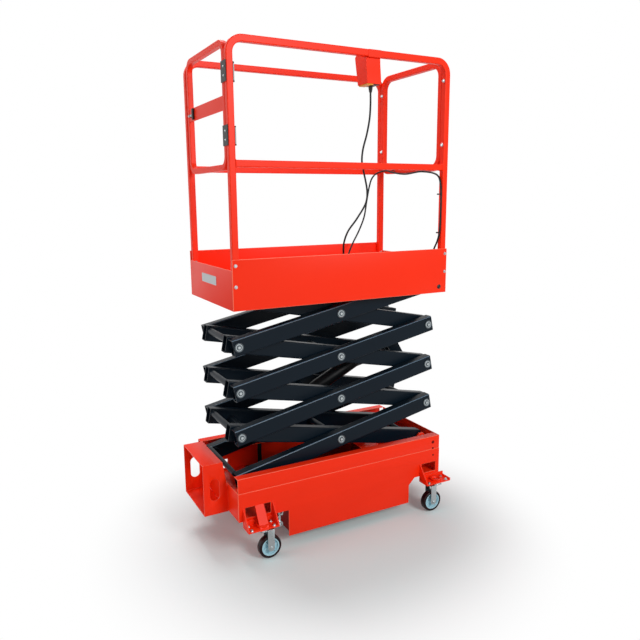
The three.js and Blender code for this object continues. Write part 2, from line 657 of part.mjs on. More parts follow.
function buildInnerFrame(level) {
  const group = levelGroup(level, -1);
  const reach = armLength / 2;
  const across = innerInnerFace + ARM_WALL / 2;
  const rearCross = level === LEVELS ? TOP_REAR_CROSS : REAR_CROSS;
  let frame = barY(-reach - rearCross.back, rearCross.rise, CROSS_RADIUS, -across, across);
  frame = frame.add(barY(reach - FRONT_CROSS, 0, CROSS_RADIUS, -across, across));
  if (level === 2) {
    // The barrel's pin hangs below the arms, and its ends stop short of the frame below.
    const pinX = reach - BARREL_PIVOT;
    const pinHeight = -BARREL_PIVOT_DROP;
    frame = frame.add(barY(pinX, pinHeight, EYE_PIN_RADIUS, -across, across, 16));
    for (const [, sign] of SIDES) {
      const [y0, y1] = span(sign, innerInnerFace - SIDE_CLEARANCE, across + 1);
      frame = frame.subtract(block(pinX - EYE_PIN_RADIUS, pinX + EYE_PIN_RADIUS, y0, y1,
        pinHeight - EYE_PIN_RADIUS - 1, -ARM_HEIGHT / 2));
    }
  } else {
    frame = frame.add(barY(0, 0, CROSS_RADIUS, -across, across));
  }
  if (level === 1) {
    frame = frame.add(block(-reach + LOWEST_BRACE.rear, -reach + LOWEST_BRACE.front, -across, across,
      LOWEST_BRACE.low, LOWEST_BRACE.high));
  }
  const rear = -reach - (level === LEVELS ? TOP_REAR_END : INNER_REAR_END);
  const chamfer = level === 1 ? 1 : 0;
  for (const [, sign] of SIDES) {
    frame = frame.add(armTube(rear, reach + ARM_END, sign, innerInnerFace, innerOuterFace, chamfer));
  }
  for (const [, sign] of SIDES) {
    for (const place of [-reach, 0, reach]) {
      const slides = level === LEVELS && place < 0;
      const pinnedToBase = level === 1 && place > 0;
      if (slides) {
        const roller = trackInnerFace + 1;
        frame = join(frame,
          barY(place, 0, SLIDE_SHAFT_RADIUS, ...span(sign, innerInnerFace + 1, roller + SHAFT_END)),
          barY(place, 0, ROLLER_RADIUS, ...span(sign, roller, roller + ROLLER_WIDTH), 24));
      } else if (pinnedToBase) {
        const pinTip = outerInnerFace + PIVOT_LUG_SHEET + 2 * PIN_TIP;
        frame = frame.add(barY(place, 0, PIN_RADIUS, ...span(sign, innerInnerFace + 1, pinTip)));
      } else {
        frame = frame.subtract(barY(place, 0, PIN_RADIUS + PIN_CLEARANCE,
          ...span(sign, innerInnerFace - 3, innerOuterFace + 3)));
      }
    }
  }
  if (level === 3) {
    for (const [, sign] of SIDES) {
      const near = EYE_WIDTH / 2 + ROD_LUG_GAP;
      const [y0, y1] = span(sign, near, near + ROD_LUG_SHEET);
      frame = frame.add(slabXZ(rodLugOutline(reach), y0, y1));
    }
  }
  piece(`inner_frame_${level}`, frame, armPaint, group);
}

// Lug plate from the front cross tube up to the cylinder rod's pin.
function rodLugOutline(reach) {
  const root = new THREE.Vector2(reach - FRONT_CROSS, 0);
  const tip = new THREE.Vector2(reach - ROD_PIVOT, ROD_PIVOT_RISE);
  const along = Math.atan2(tip.y - root.y, tip.x - root.x);
  const shape = new THREE.Shape();
  shape.absarc(root.x, root.y, ROD_LUG_ROOT, along + Math.PI / 2, along + 1.5 * Math.PI, false);
  shape.absarc(tip.x, tip.y, ROD_LUG_TIP, along - Math.PI / 2, along + Math.PI / 2, false);
  return shape;
}

// ---------------------------------------------------------------- hydraulic cylinder
// A point in the inner frame of a level, as parked: along it from its front pins
// and above its centre line.
function onInnerFrame(level, fromFront, rise) {
  const height = FIRST_PIN_HEIGHT + (level - 1) * LEVEL_RISE;
  return new THREE.Vector2(
    frontPinX - fromFront * Math.cos(armAngle) + rise * Math.sin(armAngle),
    height + fromFront * Math.sin(armAngle) + rise * Math.cos(armAngle));
}

function buildCylinder() {
  const foot = onInnerFrame(2, BARREL_PIVOT, -BARREL_PIVOT_DROP);
  const eye = onInnerFrame(3, ROD_PIVOT, ROD_PIVOT_RISE);
  const reach = foot.distanceTo(eye);
  const group = new THREE.Group();
  group.position.set(foot.x, 0, foot.y);
  group.rotation.y = -Math.atan2(eye.y - foot.y, eye.x - foot.x);
  model.add(group);

  const halfEye = EYE_WIDTH / 2;
  const barrelEye = barY(0, 0, EYE_RADIUS + BARREL_EYE_WALL, -halfEye, halfEye, 20);
  const barrel = join(barrelEye,
    barX(0, 0, BARREL_RADIUS, BARREL_NECK, BARREL_LENGTH, 24),
    barX(0, 0, BARREL_RADIUS + GLAND_RING, BARREL_LENGTH - GLAND_RING_LENGTH, BARREL_LENGTH, 24))
    .subtract(barX(0, 0, ROD_RADIUS + 1, reach - ROD_TAIL - ROD_BORE_DEPTH, BARREL_LENGTH + 1, 20))
    .subtract(barY(0, 0, EYE_PIN_RADIUS + PIN_CLEARANCE, -halfEye - 1, halfEye + 1, 16));
  piece('cylinder_barrel', barrel, blackPlastic, group);

  const eyeRadius = EYE_RADIUS - ROD_EYE_INSET;
  const rod = join(
    barX(0, 0, ROD_RADIUS, reach - ROD_TAIL, reach - eyeRadius / 2, 20),
    barY(reach, 0, eyeRadius, -halfEye, halfEye, 20));
  piece('cylinder_rod', rod, chrome, group);
}

// ---------------------------------------------------------------- platform
function buildTray() {
  const z0 = trayBottom;
  const inside = traySide - PANEL_SHEET;
  const deckSide = inside - GAP;
  const endTop = z0 + END_PANEL_HEIGHT;
  const frontSheet = TRAY_LENGTH - PANEL_SHEET;
  for (const [side, sign] of SIDES) {
    piece(`${side}_toe_board`,
      block(0, TRAY_LENGTH, ...span(sign, inside, traySide), z0, z0 + SIDE_PANEL_HEIGHT), redPaint);
  }
  piece('rear_toe_board', block(0, PANEL_SHEET, -deckSide, deckSide, z0, endTop), redPaint);
  piece('front_toe_board', block(frontSheet, TRAY_LENGTH, -deckSide, deckSide, z0, endTop), redPaint);
  const deckRear = PANEL_SHEET + GAP;
  const deckFront = frontSheet - GAP;
  piece('platform_deck',
    block(deckRear, deckFront, -deckSide, deckSide, deckTop - DECK_SHEET, deckTop), redPaint);

  // Slide tracks under the deck, each with the lug that the top outer arm is pinned to.
  const hangTop = deckTop - DECK_SHEET - GAP;
  const rollerFloor = topPinHeight - ROLLER_RADIUS - ROLLER_CLEARANCE;
  const rollerRoof = topPinHeight + ROLLER_RADIUS + ROLLER_HEADROOM;
  const trackFoot = rollerFloor - TRACK_SHEET;
  const lugFace = trackInnerFace + LUG_SHEET;
  for (const [side, sign] of SIDES) {
    const outer = deckSide - TRACK_INSET;
    const web = block(deckRear, deckFront, ...span(sign, outer - TRACK_SHEET, outer), trackFoot, hangTop);
    const lower = block(deckRear, deckFront, ...span(sign, trackInnerFace, outer), trackFoot, rollerFloor);
    const upper = block(deckRear, deckFront, ...span(sign, trackInnerFace + TRACK_UPPER_SETBACK, outer),
      rollerRoof, rollerRoof + TRACK_SHEET);
    const lug = block(frontPinX - LUG_REAR, frontPinX + LUG_FRONT, ...span(sign, trackInnerFace, lugFace),
      trackFoot, hangTop);
    const hole = barY(frontPinX, topPinHeight, PIN_RADIUS + PIN_CLEARANCE,
      ...span(sign, trackInnerFace - 1, lugFace + 1));
    piece(`${side}_slide_track`, join(web, lower, upper, lug).subtract(hole), redPaint);
  }
}

function buildGuardrails() {
  const railFoot = deckTop + GAP;
  const railTop = trayBottom + RAIL_TOP;
  const midTop = trayBottom + MID_RAIL_TOP;
  for (const [side, sign] of SIDES) {
    const [y0, y1] = span(sign, railInnerFace, railOuterFace);
    const arch = slabXZ(archOutline(postRear, postFront, railFoot, railTop, RAIL_BEND, RAIL_TUBE), y0, y1, 7);
    const mid = block(postRear + RAIL_TUBE - 1, postFront - RAIL_TUBE + 1, y0, y1, midTop - RAIL_TUBE, midTop);
    piece(`${side}_guardrail`, arch.add(mid), redPaint);
  }

  // Front frame: a closed bent tube bolted between the two front posts.
  const half = railInnerFace - GAP;
  const openHalf = half - RAIL_TUBE;
  const openTop = railTop - RAIL_TUBE;
  const ring = roundedRectangle(-half, half, midTop - RAIL_TUBE, railTop, RAIL_BEND);
  const opening = roundedRectangle(-openHalf, openHalf, midTop, openTop, RAIL_BEND - RAIL_TUBE);
  const frame = slabYZ(ring, postFront - RAIL_TUBE, postFront, 6)
    .subtract(slabYZ(opening, postFront - RAIL_TUBE - 1, postFront + 1, 6));
  piece('front_guardrail', frame, redPaint);
}

function buildGate() {
  const half = railInnerFace - GATE_SIDE_GAP;
  const x0 = PANEL_SHEET + GATE_INSET;
  const x1 = x0 + GATE_TUBE;
  const top = trayBottom + GATE_TOP;
  const bottom = trayBottom + GATE_BOTTOM;
  const openHalf = half - GATE_TUBE;
  const ring = roundedRectangle(-half, half, bottom, top, GATE_BEND);
  const opening = roundedRectangle(-openHalf, openHalf, bottom + GATE_TUBE, top - GATE_TUBE,
    GATE_BEND - GATE_TUBE);
  const bandTop = trayBottom + GATE_BAND_TOP;
  const bandRear = x0 + GATE_BAND_INSET;
  const band = block(bandRear, bandRear + GATE_BAND_SHEET, -openHalf - GATE_BAND_INSET,
    openHalf + GATE_BAND_INSET, bandTop - GATE_BAND_HEIGHT, bandTop);
  const gate = slabYZ(ring, x0, x1, 5).subtract(slabYZ(opening, x0 - 1, x1 + 1, 5)).add(band);
  piece('gate', gate, redPaint);

  // Spring hinges: a leaf and a knuckle on the post.
  const leafRear = postRear + RAIL_TUBE + GAP;
  const hingeLine = -railInnerFace - 2;
  for (const [name, height] of Object.entries(HINGE_HEIGHTS)) {
    const z = trayBottom + height;
    const leaf = block(leafRear, leafRear + HINGE_LEAF_SHEET, hingeLine - HINGE_LEAF_WIDTH, hingeLine,
      z - HINGE_LENGTH / 2, z + HINGE_LENGTH / 2);
    const knuckle = barZ(leafRear + KNUCKLE_RADIUS + 1, hingeLine, KNUCKLE_RADIUS,
      z - KNUCKLE_LENGTH / 2, z + KNUCKLE_LENGTH / 2, 16);
    piece(`gate_hinge_${name}`, leaf.add(knuckle), zinc);
  }
}

// ---------------------------------------------------------------- controls
function buildControls() {
  const top = trayBottom + BOX_TOP;
  const bottom = trayBottom + BOX_BOTTOM;
  const near = -railInnerFace + GAP;
  const outline = polygon([
    [near, bottom], [near + BOX_DEPTH_BOTTOM, bottom], [near + BOX_DEPTH_TOP, top - BOX_CHAMFER],
    [near + BOX_DEPTH_TOP - BOX_CHAMFER, top], [near, top],
  ]);
  piece('control_box', slabYZ(outline, BOX_X, BOX_X + BOX_LENGTH), redPaint);
  const glandY = near + GLAND_INSET;
  const nutBottom = bottom - GAP - GLAND_NUT_HEIGHT;
  const gland = join(
    barZ(GLAND_X, glandY, GLAND_NUT_RADIUS, nutBottom, bottom - GAP, 16),
    barZ(GLAND_X, glandY, GLAND_NECK_RADIUS, nutBottom - GLAND_NECK_HEIGHT, nutBottom + 1, 16));
  piece('cable_gland', gland, blackPlastic);
  return { glandY, glandEnd: nutBottom - GLAND_NECK_HEIGHT };
}

// The control lead: down from the gland, across the deck, up to the left-hand middle
// rail, along the front frame's lower tube, down the right-hand post and to the deck.
function buildLead({ glandY, glandEnd }) {
  const deck = deckTop + CORD_RADIUS + GAP;
  const besideFrame = postFront - RAIL_TUBE - CORD_RADIUS - LEAD_STANDOFF;
  const besideRail = railInnerFace - CORD_RADIUS - LEAD_STANDOFF;
  const points = [
    [GLAND_X, glandY, glandEnd - GAP],
    [GLAND_X + 1, glandY + 1, 2110],
    [734, -244, 2045],
    [722, -240, 1974],
    [703, -234, 1897],
    [702, -228, 1846],
    [712, -225, 1806],
    [738, -219, 1706],
    [735, -214, 1652],
    [688, -208, 1576],
    [640, -201, 1513],
    [624, -191, 1459],
    [629, -178, 1408],
    [650, -156, 1357],
    [690, -122, 1315],
    [740, -78, deck + 3],
    [795, -15, deck + 1],
    [835, 60, deck + 1],
    [858, 140, deck + 2],
    [876, 205, deck + 24],
    [902, 232, 1360],
    [936, 238, 1425],
    [974, 240, 1487],
    [1012, 243, 1567],
    [1030, 246, 1650],
    [1053, 252, 1742],
    [1073, besideRail - 5, 1782],
    [1093, 257.5, 1805],
    [1110, 246, 1817],
    [1122.5, 225.5, 1823],
    [besideFrame, 185, 1824],
    [besideFrame, 140, 1814],
    [besideFrame, 16, 1800],
    [besideFrame, -140, 1807],
    [besideFrame, -269, 1781],
    [besideFrame, -291, 1738],
    [besideFrame, -292, 1500],
    [besideFrame - 2, -280, 1455],
    [besideFrame - 9, -258, 1400],
    [besideFrame - 12, -250, deckTop + GAP],
  ];
  const route = points.map(([x, y, z]) => new THREE.Vector3(x, y, z));
  const curve = new THREE.CatmullRomCurve3(route, false, 'centripetal');
  const sides = Array.from({ length: 8 }, (_, i) => (i * Math.PI) / 4);
  const section = polygon(sides.map((turn) => [CORD_RADIUS * Math.cos(turn), CORD_RADIUS * Math.sin(turn)]));
  const tube = new THREE.ExtrudeGeometry(section, { steps: 80, extrudePath: curve, bevelEnabled: false });
  piece('control_lead', solid(tube), blackPlastic);
}

buildBase();
buildStep();
buildCasters();
for (let level = 1; level <= LEVELS; level += 1) {
  buildOuterArms(level);
  buildInnerFrame(level);
}
buildCylinder();
buildTray();
buildGuardrails();
buildGate();
buildLead(buildControls());

export default model;
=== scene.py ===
# %% [markdown]
# # A push-around scissor lift
# The construction of this machine already exists: every tube, pin and caster is a solid at
# its real size, on a named body that moves. This lesson gives it its looks. A powder-coated
# machine is mostly folded sheet and square tube, so the work is in rounded edges, open tube
# ends, welds, bolts and the satin of the paint. Everything is in metres, +Z is up, +X points
# to the end where the arms are pinned, and -Y is the side that faces the camera.

# %% Load the construction
import json
import math

import bmesh
import bpy
import numpy as np
from mathutils import Matrix, Vector

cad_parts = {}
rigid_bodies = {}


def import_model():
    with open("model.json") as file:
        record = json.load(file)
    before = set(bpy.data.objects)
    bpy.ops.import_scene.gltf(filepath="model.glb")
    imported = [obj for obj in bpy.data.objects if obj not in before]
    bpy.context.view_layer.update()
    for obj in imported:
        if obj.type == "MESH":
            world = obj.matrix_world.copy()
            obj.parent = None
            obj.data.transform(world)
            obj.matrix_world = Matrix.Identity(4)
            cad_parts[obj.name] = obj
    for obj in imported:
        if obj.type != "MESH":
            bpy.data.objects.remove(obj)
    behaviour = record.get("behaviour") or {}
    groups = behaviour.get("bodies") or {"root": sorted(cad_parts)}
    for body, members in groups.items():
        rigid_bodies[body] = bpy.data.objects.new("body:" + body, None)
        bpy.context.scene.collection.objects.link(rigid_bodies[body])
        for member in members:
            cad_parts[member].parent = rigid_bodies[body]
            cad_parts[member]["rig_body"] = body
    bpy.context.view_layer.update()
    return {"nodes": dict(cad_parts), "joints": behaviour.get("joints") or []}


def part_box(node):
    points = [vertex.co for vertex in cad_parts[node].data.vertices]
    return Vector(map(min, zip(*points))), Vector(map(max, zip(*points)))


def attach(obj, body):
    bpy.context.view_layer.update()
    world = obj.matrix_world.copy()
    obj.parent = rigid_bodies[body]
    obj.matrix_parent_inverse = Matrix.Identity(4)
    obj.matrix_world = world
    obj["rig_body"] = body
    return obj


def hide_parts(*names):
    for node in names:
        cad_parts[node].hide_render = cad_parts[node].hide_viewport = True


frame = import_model()
MM = 0.001


# %% [markdown]
# ## Places
# Nothing is measured twice. The pins come from the joints and the walls from the boxes of
# the solids, so a change in the construction moves the looks with it.

# %% Places that everything else is set out from
def joint_place(name):
    """The point of a joint, as an array."""
    return np.array(next(j["pos_m"] for j in frame["joints"] if j["name"] == name))


def corners(node):
    """The lowest and highest corner of a solid, as two arrays."""
    low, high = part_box(node)
    return np.array(low), np.array(high)


LEVELS = 4
front_pins = [joint_place("lift")]
front_pins += [joint_place(f"front_pivot_{k}") for k in range(1, LEVELS)]
front_pins += [joint_place("platform_pivot")]
centre_pins = [joint_place(f"centre_pivot_{k}") for k in range(1, LEVELS + 1)]
REACH = float(np.linalg.norm(front_pins[0] - centre_pins[0]))

panel_low, panel_high = corners("right_toe_board")
TRAY_REAR, TRAY_FRONT = panel_low[0], panel_high[0]
TRAY_BOTTOM = panel_low[2]
TRAY_SIDE = -panel_low[1]
DECK_TOP = corners("platform_deck")[1][2]
rail_low, rail_high = corners("right_guardrail")
RAIL_TOP = rail_high[2]
RAIL_TUBE = 30 * MM
base_low, _ = corners("right_base_rail")
BASE_REAR, BASE_SIDE = base_low[0], -base_low[1]
SIDES = (("right", -1), ("left", 1))
ENDS = ("rear", "front")
print("arm reach %.1f mm, platform %.0f mm long" % (REACH / MM, (TRAY_FRONT - TRAY_REAR) / MM))

# %% [markdown]
# ## Camera, floor and light
# A lens of about 36 mm stands well back at eye height and looks slightly down, so the
# uprights stay nearly parallel. The floor and the air behind it are one white sweep: the
# floor has a little light of its own for the camera only, which hides the horizon and leaves
# the shadow. Three large soft lamps do the lighting, because satin paint shows a lamp's shape.

# %% Camera
CAMERA_PLACE = (-1.4887, -2.8847, 1.6714)
CAMERA_TURN = math.radians(-28.18)
CAMERA_DIP = math.radians(10.8)
CAMERA_ROLL = math.radians(-0.45)
LENS_MM = 35.73
SENSOR_MM = 36.0

look = Vector((-math.sin(CAMERA_TURN) * math.cos(CAMERA_DIP),
               math.cos(CAMERA_TURN) * math.cos(CAMERA_DIP), -math.sin(CAMERA_DIP)))
level = look.cross(Vector((0, 0, 1))).normalized()
above = level.cross(look)
across = math.cos(CAMERA_ROLL) * level + math.sin(CAMERA_ROLL) * above
upright = across.cross(look)
camera_data = bpy.data.cameras.new("camera")
camera_data.lens = LENS_MM
camera_data.sensor_width = SENSOR_MM
camera = bpy.data.objects.new("camera", camera_data)
bpy.context.scene.collection.objects.link(camera)
facing = Matrix((across, upright, -look)).transposed().to_4x4()
camera.matrix_world = Matrix.Translation(CAMERA_PLACE) @ facing
bpy.context.scene.camera = camera
bpy.context.scene.view_settings.view_transform = "Standard"
print("camera looks", [round(v, 3) for v in look])


# %% [markdown]
# ## Colours and shader nodes
# Colours are written as hex values, as a paint chart gives them, and turned to linear light
# in one place. One function adds a node, sets it and links it, so that each material below
# reads as a list of what the surface has.

# %% Colour and node helpers
def linear(hex_colour):
    """An sRGB hex colour as linear RGBA: each channel is undone from the sRGB curve."""
    channels = np.array([int(hex_colour[i:i + 2], 16) / 255 for i in (1, 3, 5)])
    light = np.where(channels <= 0.04045, channels / 12.92, ((channels + 0.055) / 1.055) ** 2.4)
    return (*light.tolist(), 1.0)


def add_node(material, kind, settings=None, **inputs):
    """Adds one node, sets its own properties, then sets or links its inputs. An input is
    a value, or a (node, output name) pair. An underscore in a name stands for a space."""
    tree = material.node_tree
    node = tree.nodes.new(kind)
    for name, value in (settings or {}).items():
        setattr(node, name, value)
    for name, value in inputs.items():
        socket = node.inputs[int(name[1:])] if name[1:].isdigit() else node.inputs[name.replace("_", " ")]
        if isinstance(value, tuple) and len(value) == 2 and hasattr(value[0], "outputs"):
            tree.links.new(value[0].outputs[value[1]], socket)
        else:
            socket.default_value = value
    return node


def new_material(name):
    """An empty material with its output, and the position of the surface to pattern it by."""
    material = bpy.data.materials.new(name)
    material.use_nodes = True
    material.node_tree.nodes.clear()
    place = add_node(material, "ShaderNodeTexCoord")
    return material, (place, "Object")


def finish_material(material, shader):
    add_node(material, "ShaderNodeOutputMaterial", Surface=(shader, 0))
    return material


print("red in linear light:", [round(v, 3) for v in linear("#f0391a")])

# %% [markdown]
# ## The white sweep
# A real product shot is taken on a paper sweep, lit so that the paper burns out to white
# away from the machine. Here the floor is a plane whose shader, where the camera or a
# reflection looks at it, fades from lit paper beneath the lift to plain white beyond it. The
# lift itself is lit by the lamps and by the paper's real bounce only.

# %% Floor and world
FLOOR_REACH = 14.0
SHADOW_NEAR, SHADOW_FAR = 0.55, 1.24
SHADOW_CENTRE = (-0.02, -0.18, 0.0)
GLOW_NEAR, GLOW_FAR = 0.30, 0.95
PAPER_GAIN = 0.07


def seen_rays(material):
    """One for rays from the camera, a reflection or a clear body, and zero for the rays that
    light the scene: the largest of three values of Light Path."""
    path = add_node(material, "ShaderNodeLightPath")
    camera_or_gloss = add_node(material, "ShaderNodeMath", {"operation": "MAXIMUM"},
                               i0=(path, "Is Camera Ray"), i1=(path, "Is Glossy Ray"))
    return add_node(material, "ShaderNodeMath", {"operation": "MAXIMUM"},
                    i0=(camera_or_gloss, 0), i1=(path, "Is Transmission Ray"))


def sweep_material():
    """Lit paper near the lift, white beyond: the share of white rises with distance from
    a centre a little in front of the lift, by a smooth step. Close to the lift the paper is a
    little cooler, which takes back the red light the paint throws on it."""
    material, place = new_material("white_paper_sweep")
    seen = seen_rays(material)
    away = add_node(material, "ShaderNodeVectorMath", {"operation": "DISTANCE"}, i0=place, i1=SHADOW_CENTRE)
    fade = add_node(material, "ShaderNodeMapRange", {"interpolation_type": "SMOOTHSTEP"},
                    Value=(away, "Value"), From_Min=SHADOW_NEAR, From_Max=SHADOW_FAR)
    distance_share = add_node(material, "ShaderNodeMapRange", Value=(away, "Value"),
                              From_Min=GLOW_NEAR, From_Max=GLOW_FAR)
    cool_paper = add_node(material, "ShaderNodeBsdfDiffuse", Color=linear("#d1e2e1"))
    plain_paper = add_node(material, "ShaderNodeBsdfDiffuse", Color=linear("#dee0e0"))
    paper = add_node(material, "ShaderNodeMixShader", i0=(distance_share, 0), i1=(cool_paper, 0),
                     i2=(plain_paper, 0))
    lift_up = add_node(material, "ShaderNodeEmission", Color=linear("#ffffff"), Strength=PAPER_GAIN)
    lit = add_node(material, "ShaderNodeAddShader", i0=(paper, 0), i1=(lift_up, 0))
    white = add_node(material, "ShaderNodeEmission", Color=linear("#ffffff"), Strength=1.0)
    shown = add_node(material, "ShaderNodeMixShader", i0=(fade, 0), i1=(lit, 0), i2=(white, 0))
    both = add_node(material, "ShaderNodeMixShader", i0=(seen, 0), i1=(paper, 0), i2=(shown, 0))
    return finish_material(material, both)


floor_mesh = bpy.data.meshes.new("floor")
floor_mesh.from_pydata([(-FLOOR_REACH, -FLOOR_REACH, 0), (FLOOR_REACH, -FLOOR_REACH, 0),
                        (FLOOR_REACH, FLOOR_REACH, 0), (-FLOOR_REACH, FLOOR_REACH, 0)], [], [(0, 1, 2, 3)])
floor = bpy.data.objects.new("floor", floor_mesh)
floor_mesh.materials.append(sweep_material())
bpy.context.scene.collection.objects.link(floor)

WORLD_LIGHT = 0.42


def white_world():
    """Soft light from all round, and pure white behind everything that is looked at."""
    world = bpy.data.worlds.new("studio")
    world.use_nodes = True
    world.node_tree.nodes.clear()
    seen = seen_rays(world)
    lit = add_node(world, "ShaderNodeBackground", Color=linear("#f3f5f8"), Strength=WORLD_LIGHT)
    white = add_node(world, "ShaderNodeBackground", Color=linear("#ffffff"), Strength=1.0)
    mixed = add_node(world, "ShaderNodeMixShader", i0=(seen, 0), i1=(lit, 0), i2=(white, 0))
    add_node(world, "ShaderNodeOutputWorld", Surface=(mixed, 0))
    return world


bpy.context.scene.world = white_world()
print("floor %.0f m wide, shadow kept within %.2f m" % (2 * FLOOR_REACH, SHADOW_FAR))


# %% Lamps
def lamp(name, place, target, size, power):
    """A square soft box at a place, turned to face its target."""
    data = bpy.data.lights.new(name, "AREA")
    data.size = size
    data.energy = power
    light = bpy.data.objects.new(name, data)
    bpy.context.scene.collection.objects.link(light)
    light.location = place
    light.rotation_euler = (Vector(target) - Vector(place)).to_track_quat("-Z", "Y").to_euler()
    return light


MIDDLE = (0.0, 0.0, 1.1)
lamp("front_soft_box", (0.9, -4.8, 3.1), (0.0, 0.0, 0.9), 1.6, 146)
lamp("side_soft_box", (-4.4, 0.4, 2.4), MIDDLE, 2.0, 36)
lamp("top_soft_box", (-0.3, 1.6, 5.0), MIDDLE, 1.8, 104)

# %% [markdown]
# ## How shapes are made
# Every new shape is a grid of points worked out at once with numpy. There are three ways to
# fill the grid: a profile carried along a path (tubes, bars and sheets), a profile turned
# about an axis (pins, wheels, the cylinder), and for folded sheet that the construction
# already holds exactly, a copy of its solid with every edge rounded. A part is a pair: its
# points, and a list of face arrays. Several parts make one piece.

# %% Grids and profiles
def grid_faces(rows, columns, wrap_rows=False, wrap_columns=False):
    """Quads between neighbouring points of a grid whose points are numbered row by row."""
    i, j = np.meshgrid(np.arange(rows if wrap_rows else rows - 1),
                       np.arange(columns if wrap_columns else columns - 1), indexing="ij")
    below, beside = (i + 1) % rows, (j + 1) % columns
    corners_of_quad = (i * columns + j, below * columns + j, below * columns + beside, i * columns + beside)
    return np.stack(corners_of_quad, axis=-1).reshape(-1, 4)


def rounded_rectangle(width, height, radius, steps=4, support=0.25):
    """A closed outline: four quarter circles of the given radius, joined by straight sides.
    Beside each arc is one more point, so that the flat side shades as flat."""
    turn = np.linspace(0, np.pi / 2, steps + 1)
    arc = np.stack([np.cos(turn), np.sin(turn)], axis=1) * radius
    lead = np.array([[radius, -radius * support]])
    tail = np.array([[-radius * support, radius]])
    corner = np.concatenate([lead, arc, tail])
    outline = []
    for k in range(4):
        c, s = np.cos(k * np.pi / 2), np.sin(k * np.pi / 2)
        to_right, to_top = (1, -1, -1, 1)[k], (1, 1, -1, -1)[k]
        centre = np.array([(width / 2 - radius) * to_right, (height / 2 - radius) * to_top])
        outline.append(corner @ np.array([[c, s], [-s, c]]) + centre)
    return np.concatenate(outline)


def in_mm(*points):
    """Points given in millimetres, as an array in metres."""
    return np.array(points, float) * MM


def stub(radius, height, chamfer):
    """The profile of a short round bar from its foot to its top, the upper rim cut at 45
    degrees. Like every profile that is turned, it starts and ends on the axis."""
    return [(0, 0), (radius, 0), (radius, height - chamfer), (radius - chamfer, height), (0, height)]


def circle(radius, steps=24):
    """A closed round outline: radius times the cosine and sine of even turns."""
    turn = np.arange(steps) * 2 * np.pi / steps
    return np.stack([np.cos(turn), np.sin(turn)], axis=1) * radius


def bent_path(points, radius, steps=8, closed=False):
    """A path whose inner corners are arcs. At each corner the arc's centre lies on the
    bisector, and its ends are one tangent length from the corner along both legs."""
    points = [np.array(p, float) for p in points]
    count = len(points)
    path = [] if closed else [points[0]]
    for k in range(count) if closed else range(1, count - 1):
        here = points[k]
        to_last = points[k - 1] - here
        to_next = points[(k + 1) % count] - here
        to_last /= np.linalg.norm(to_last)
        to_next /= np.linalg.norm(to_next)
        half = np.arccos(np.clip(to_last @ to_next, -1, 1)) / 2
        centre = here + (to_last + to_next) / np.linalg.norm(to_last + to_next) * radius / np.sin(half)
        start = here + to_last * radius / np.tan(half) - centre
        end = here + to_next * radius / np.tan(half) - centre
        sweep = np.pi - 2 * half
        share = np.linspace(0, 1, steps + 1)[:, None]
        from_start, from_end = np.sin((1 - share) * sweep), np.sin(share * sweep)
        path.extend(centre + (from_start * start + from_end * end) / np.sin(sweep))
    if not closed:
        path.append(points[-1])
    return np.array(path)


print("a 30 mm tube's outline has", len(rounded_rectangle(30, 30, 4)), "points")


# %% Parts made from profiles
def rings(profile, path, side, closed=False):
    """One copy of a profile at each point of a flat path. The profile's first axis is the
    path plane's normal, side, and its second is that normal crossed with the tangent."""
    path = np.asarray(path, float)
    if closed:
        ahead, behind = np.roll(path, -1, axis=0), np.roll(path, 1, axis=0)
    else:
        ahead, behind = np.vstack([path[1:], path[-1:]]), np.vstack([path[:1], path[:-1]])
    tangent = ahead - behind
    tangent /= np.linalg.norm(tangent, axis=1, keepdims=True)
    side = np.asarray(side, float)
    lift = np.cross(tangent, side)
    return path[:, None] + profile[None, :, :1] * side + profile[None, :, 1:] * lift[:, None]


def carried(profile, path, side, closed=False):
    """A solid bar: the profile carried along the path, with flat ends if it isn't closed."""
    points = rings(profile, path, side, closed)
    rows, columns = points.shape[:2]
    faces = [grid_faces(rows, columns, wrap_rows=closed, wrap_columns=True)]
    if not closed:
        last = np.arange((rows - 1) * columns, rows * columns)
        faces += [np.arange(columns)[None], last[None]]
    return points.reshape(-1, 3), faces


def hollow(outside, inside, path, side):
    """An open tube: an outer and an inner profile with as many points, carried together,
    and a ring of faces between them at each end."""
    shell = [rings(profile, path, side) for profile in (outside, inside)]
    rows, columns = shell[0].shape[:2]
    count = rows * columns
    around = np.arange(columns)
    wall = grid_faces(rows, columns, wrap_columns=True)
    faces = [wall, wall + count]
    for first in (0, (rows - 1) * columns):
        edge = first + around
        beside = first + (around + 1) % columns
        faces.append(np.stack([edge, beside, beside + count, edge + count], axis=1))
    return np.concatenate([s.reshape(-1, 3) for s in shell]), faces


def turned(profile, centre, axis, segments=32, closed=False):
    """A profile of (radius, height) points turned about an axis through centre: point (i, j)
    is centre + height * axis + radius * (cos * first + sin * second)."""
    profile = np.asarray(profile, float)
    axis = np.asarray(axis, float) / np.linalg.norm(axis)
    helper = np.array([0, 0, 1.0]) if abs(axis[2]) < 0.9 else np.array([1.0, 0, 0])
    first = np.cross(helper, axis)
    first /= np.linalg.norm(first)
    second = np.cross(axis, first)
    turn = np.arange(segments) * 2 * np.pi / segments + np.pi / segments
    spoke = np.cos(turn)[:, None] * first + np.sin(turn)[:, None] * second
    points = centre + profile[None, :, 1:] * axis + profile[None, :, :1] * spoke[:, None]
    faces = [grid_faces(segments, len(profile), wrap_rows=True, wrap_columns=closed)]
    return points.reshape(-1, 3), faces


def capped(rows):
    """A closed solid from equal rows of points, one behind another, with a flat end on each."""
    count = len(rows[0])
    first_end = np.arange(count)[None]
    last_end = first_end + (len(rows) - 1) * count
    faces = [grid_faces(len(rows), count, wrap_columns=True), first_end, last_end]
    return np.vstack(rows), faces


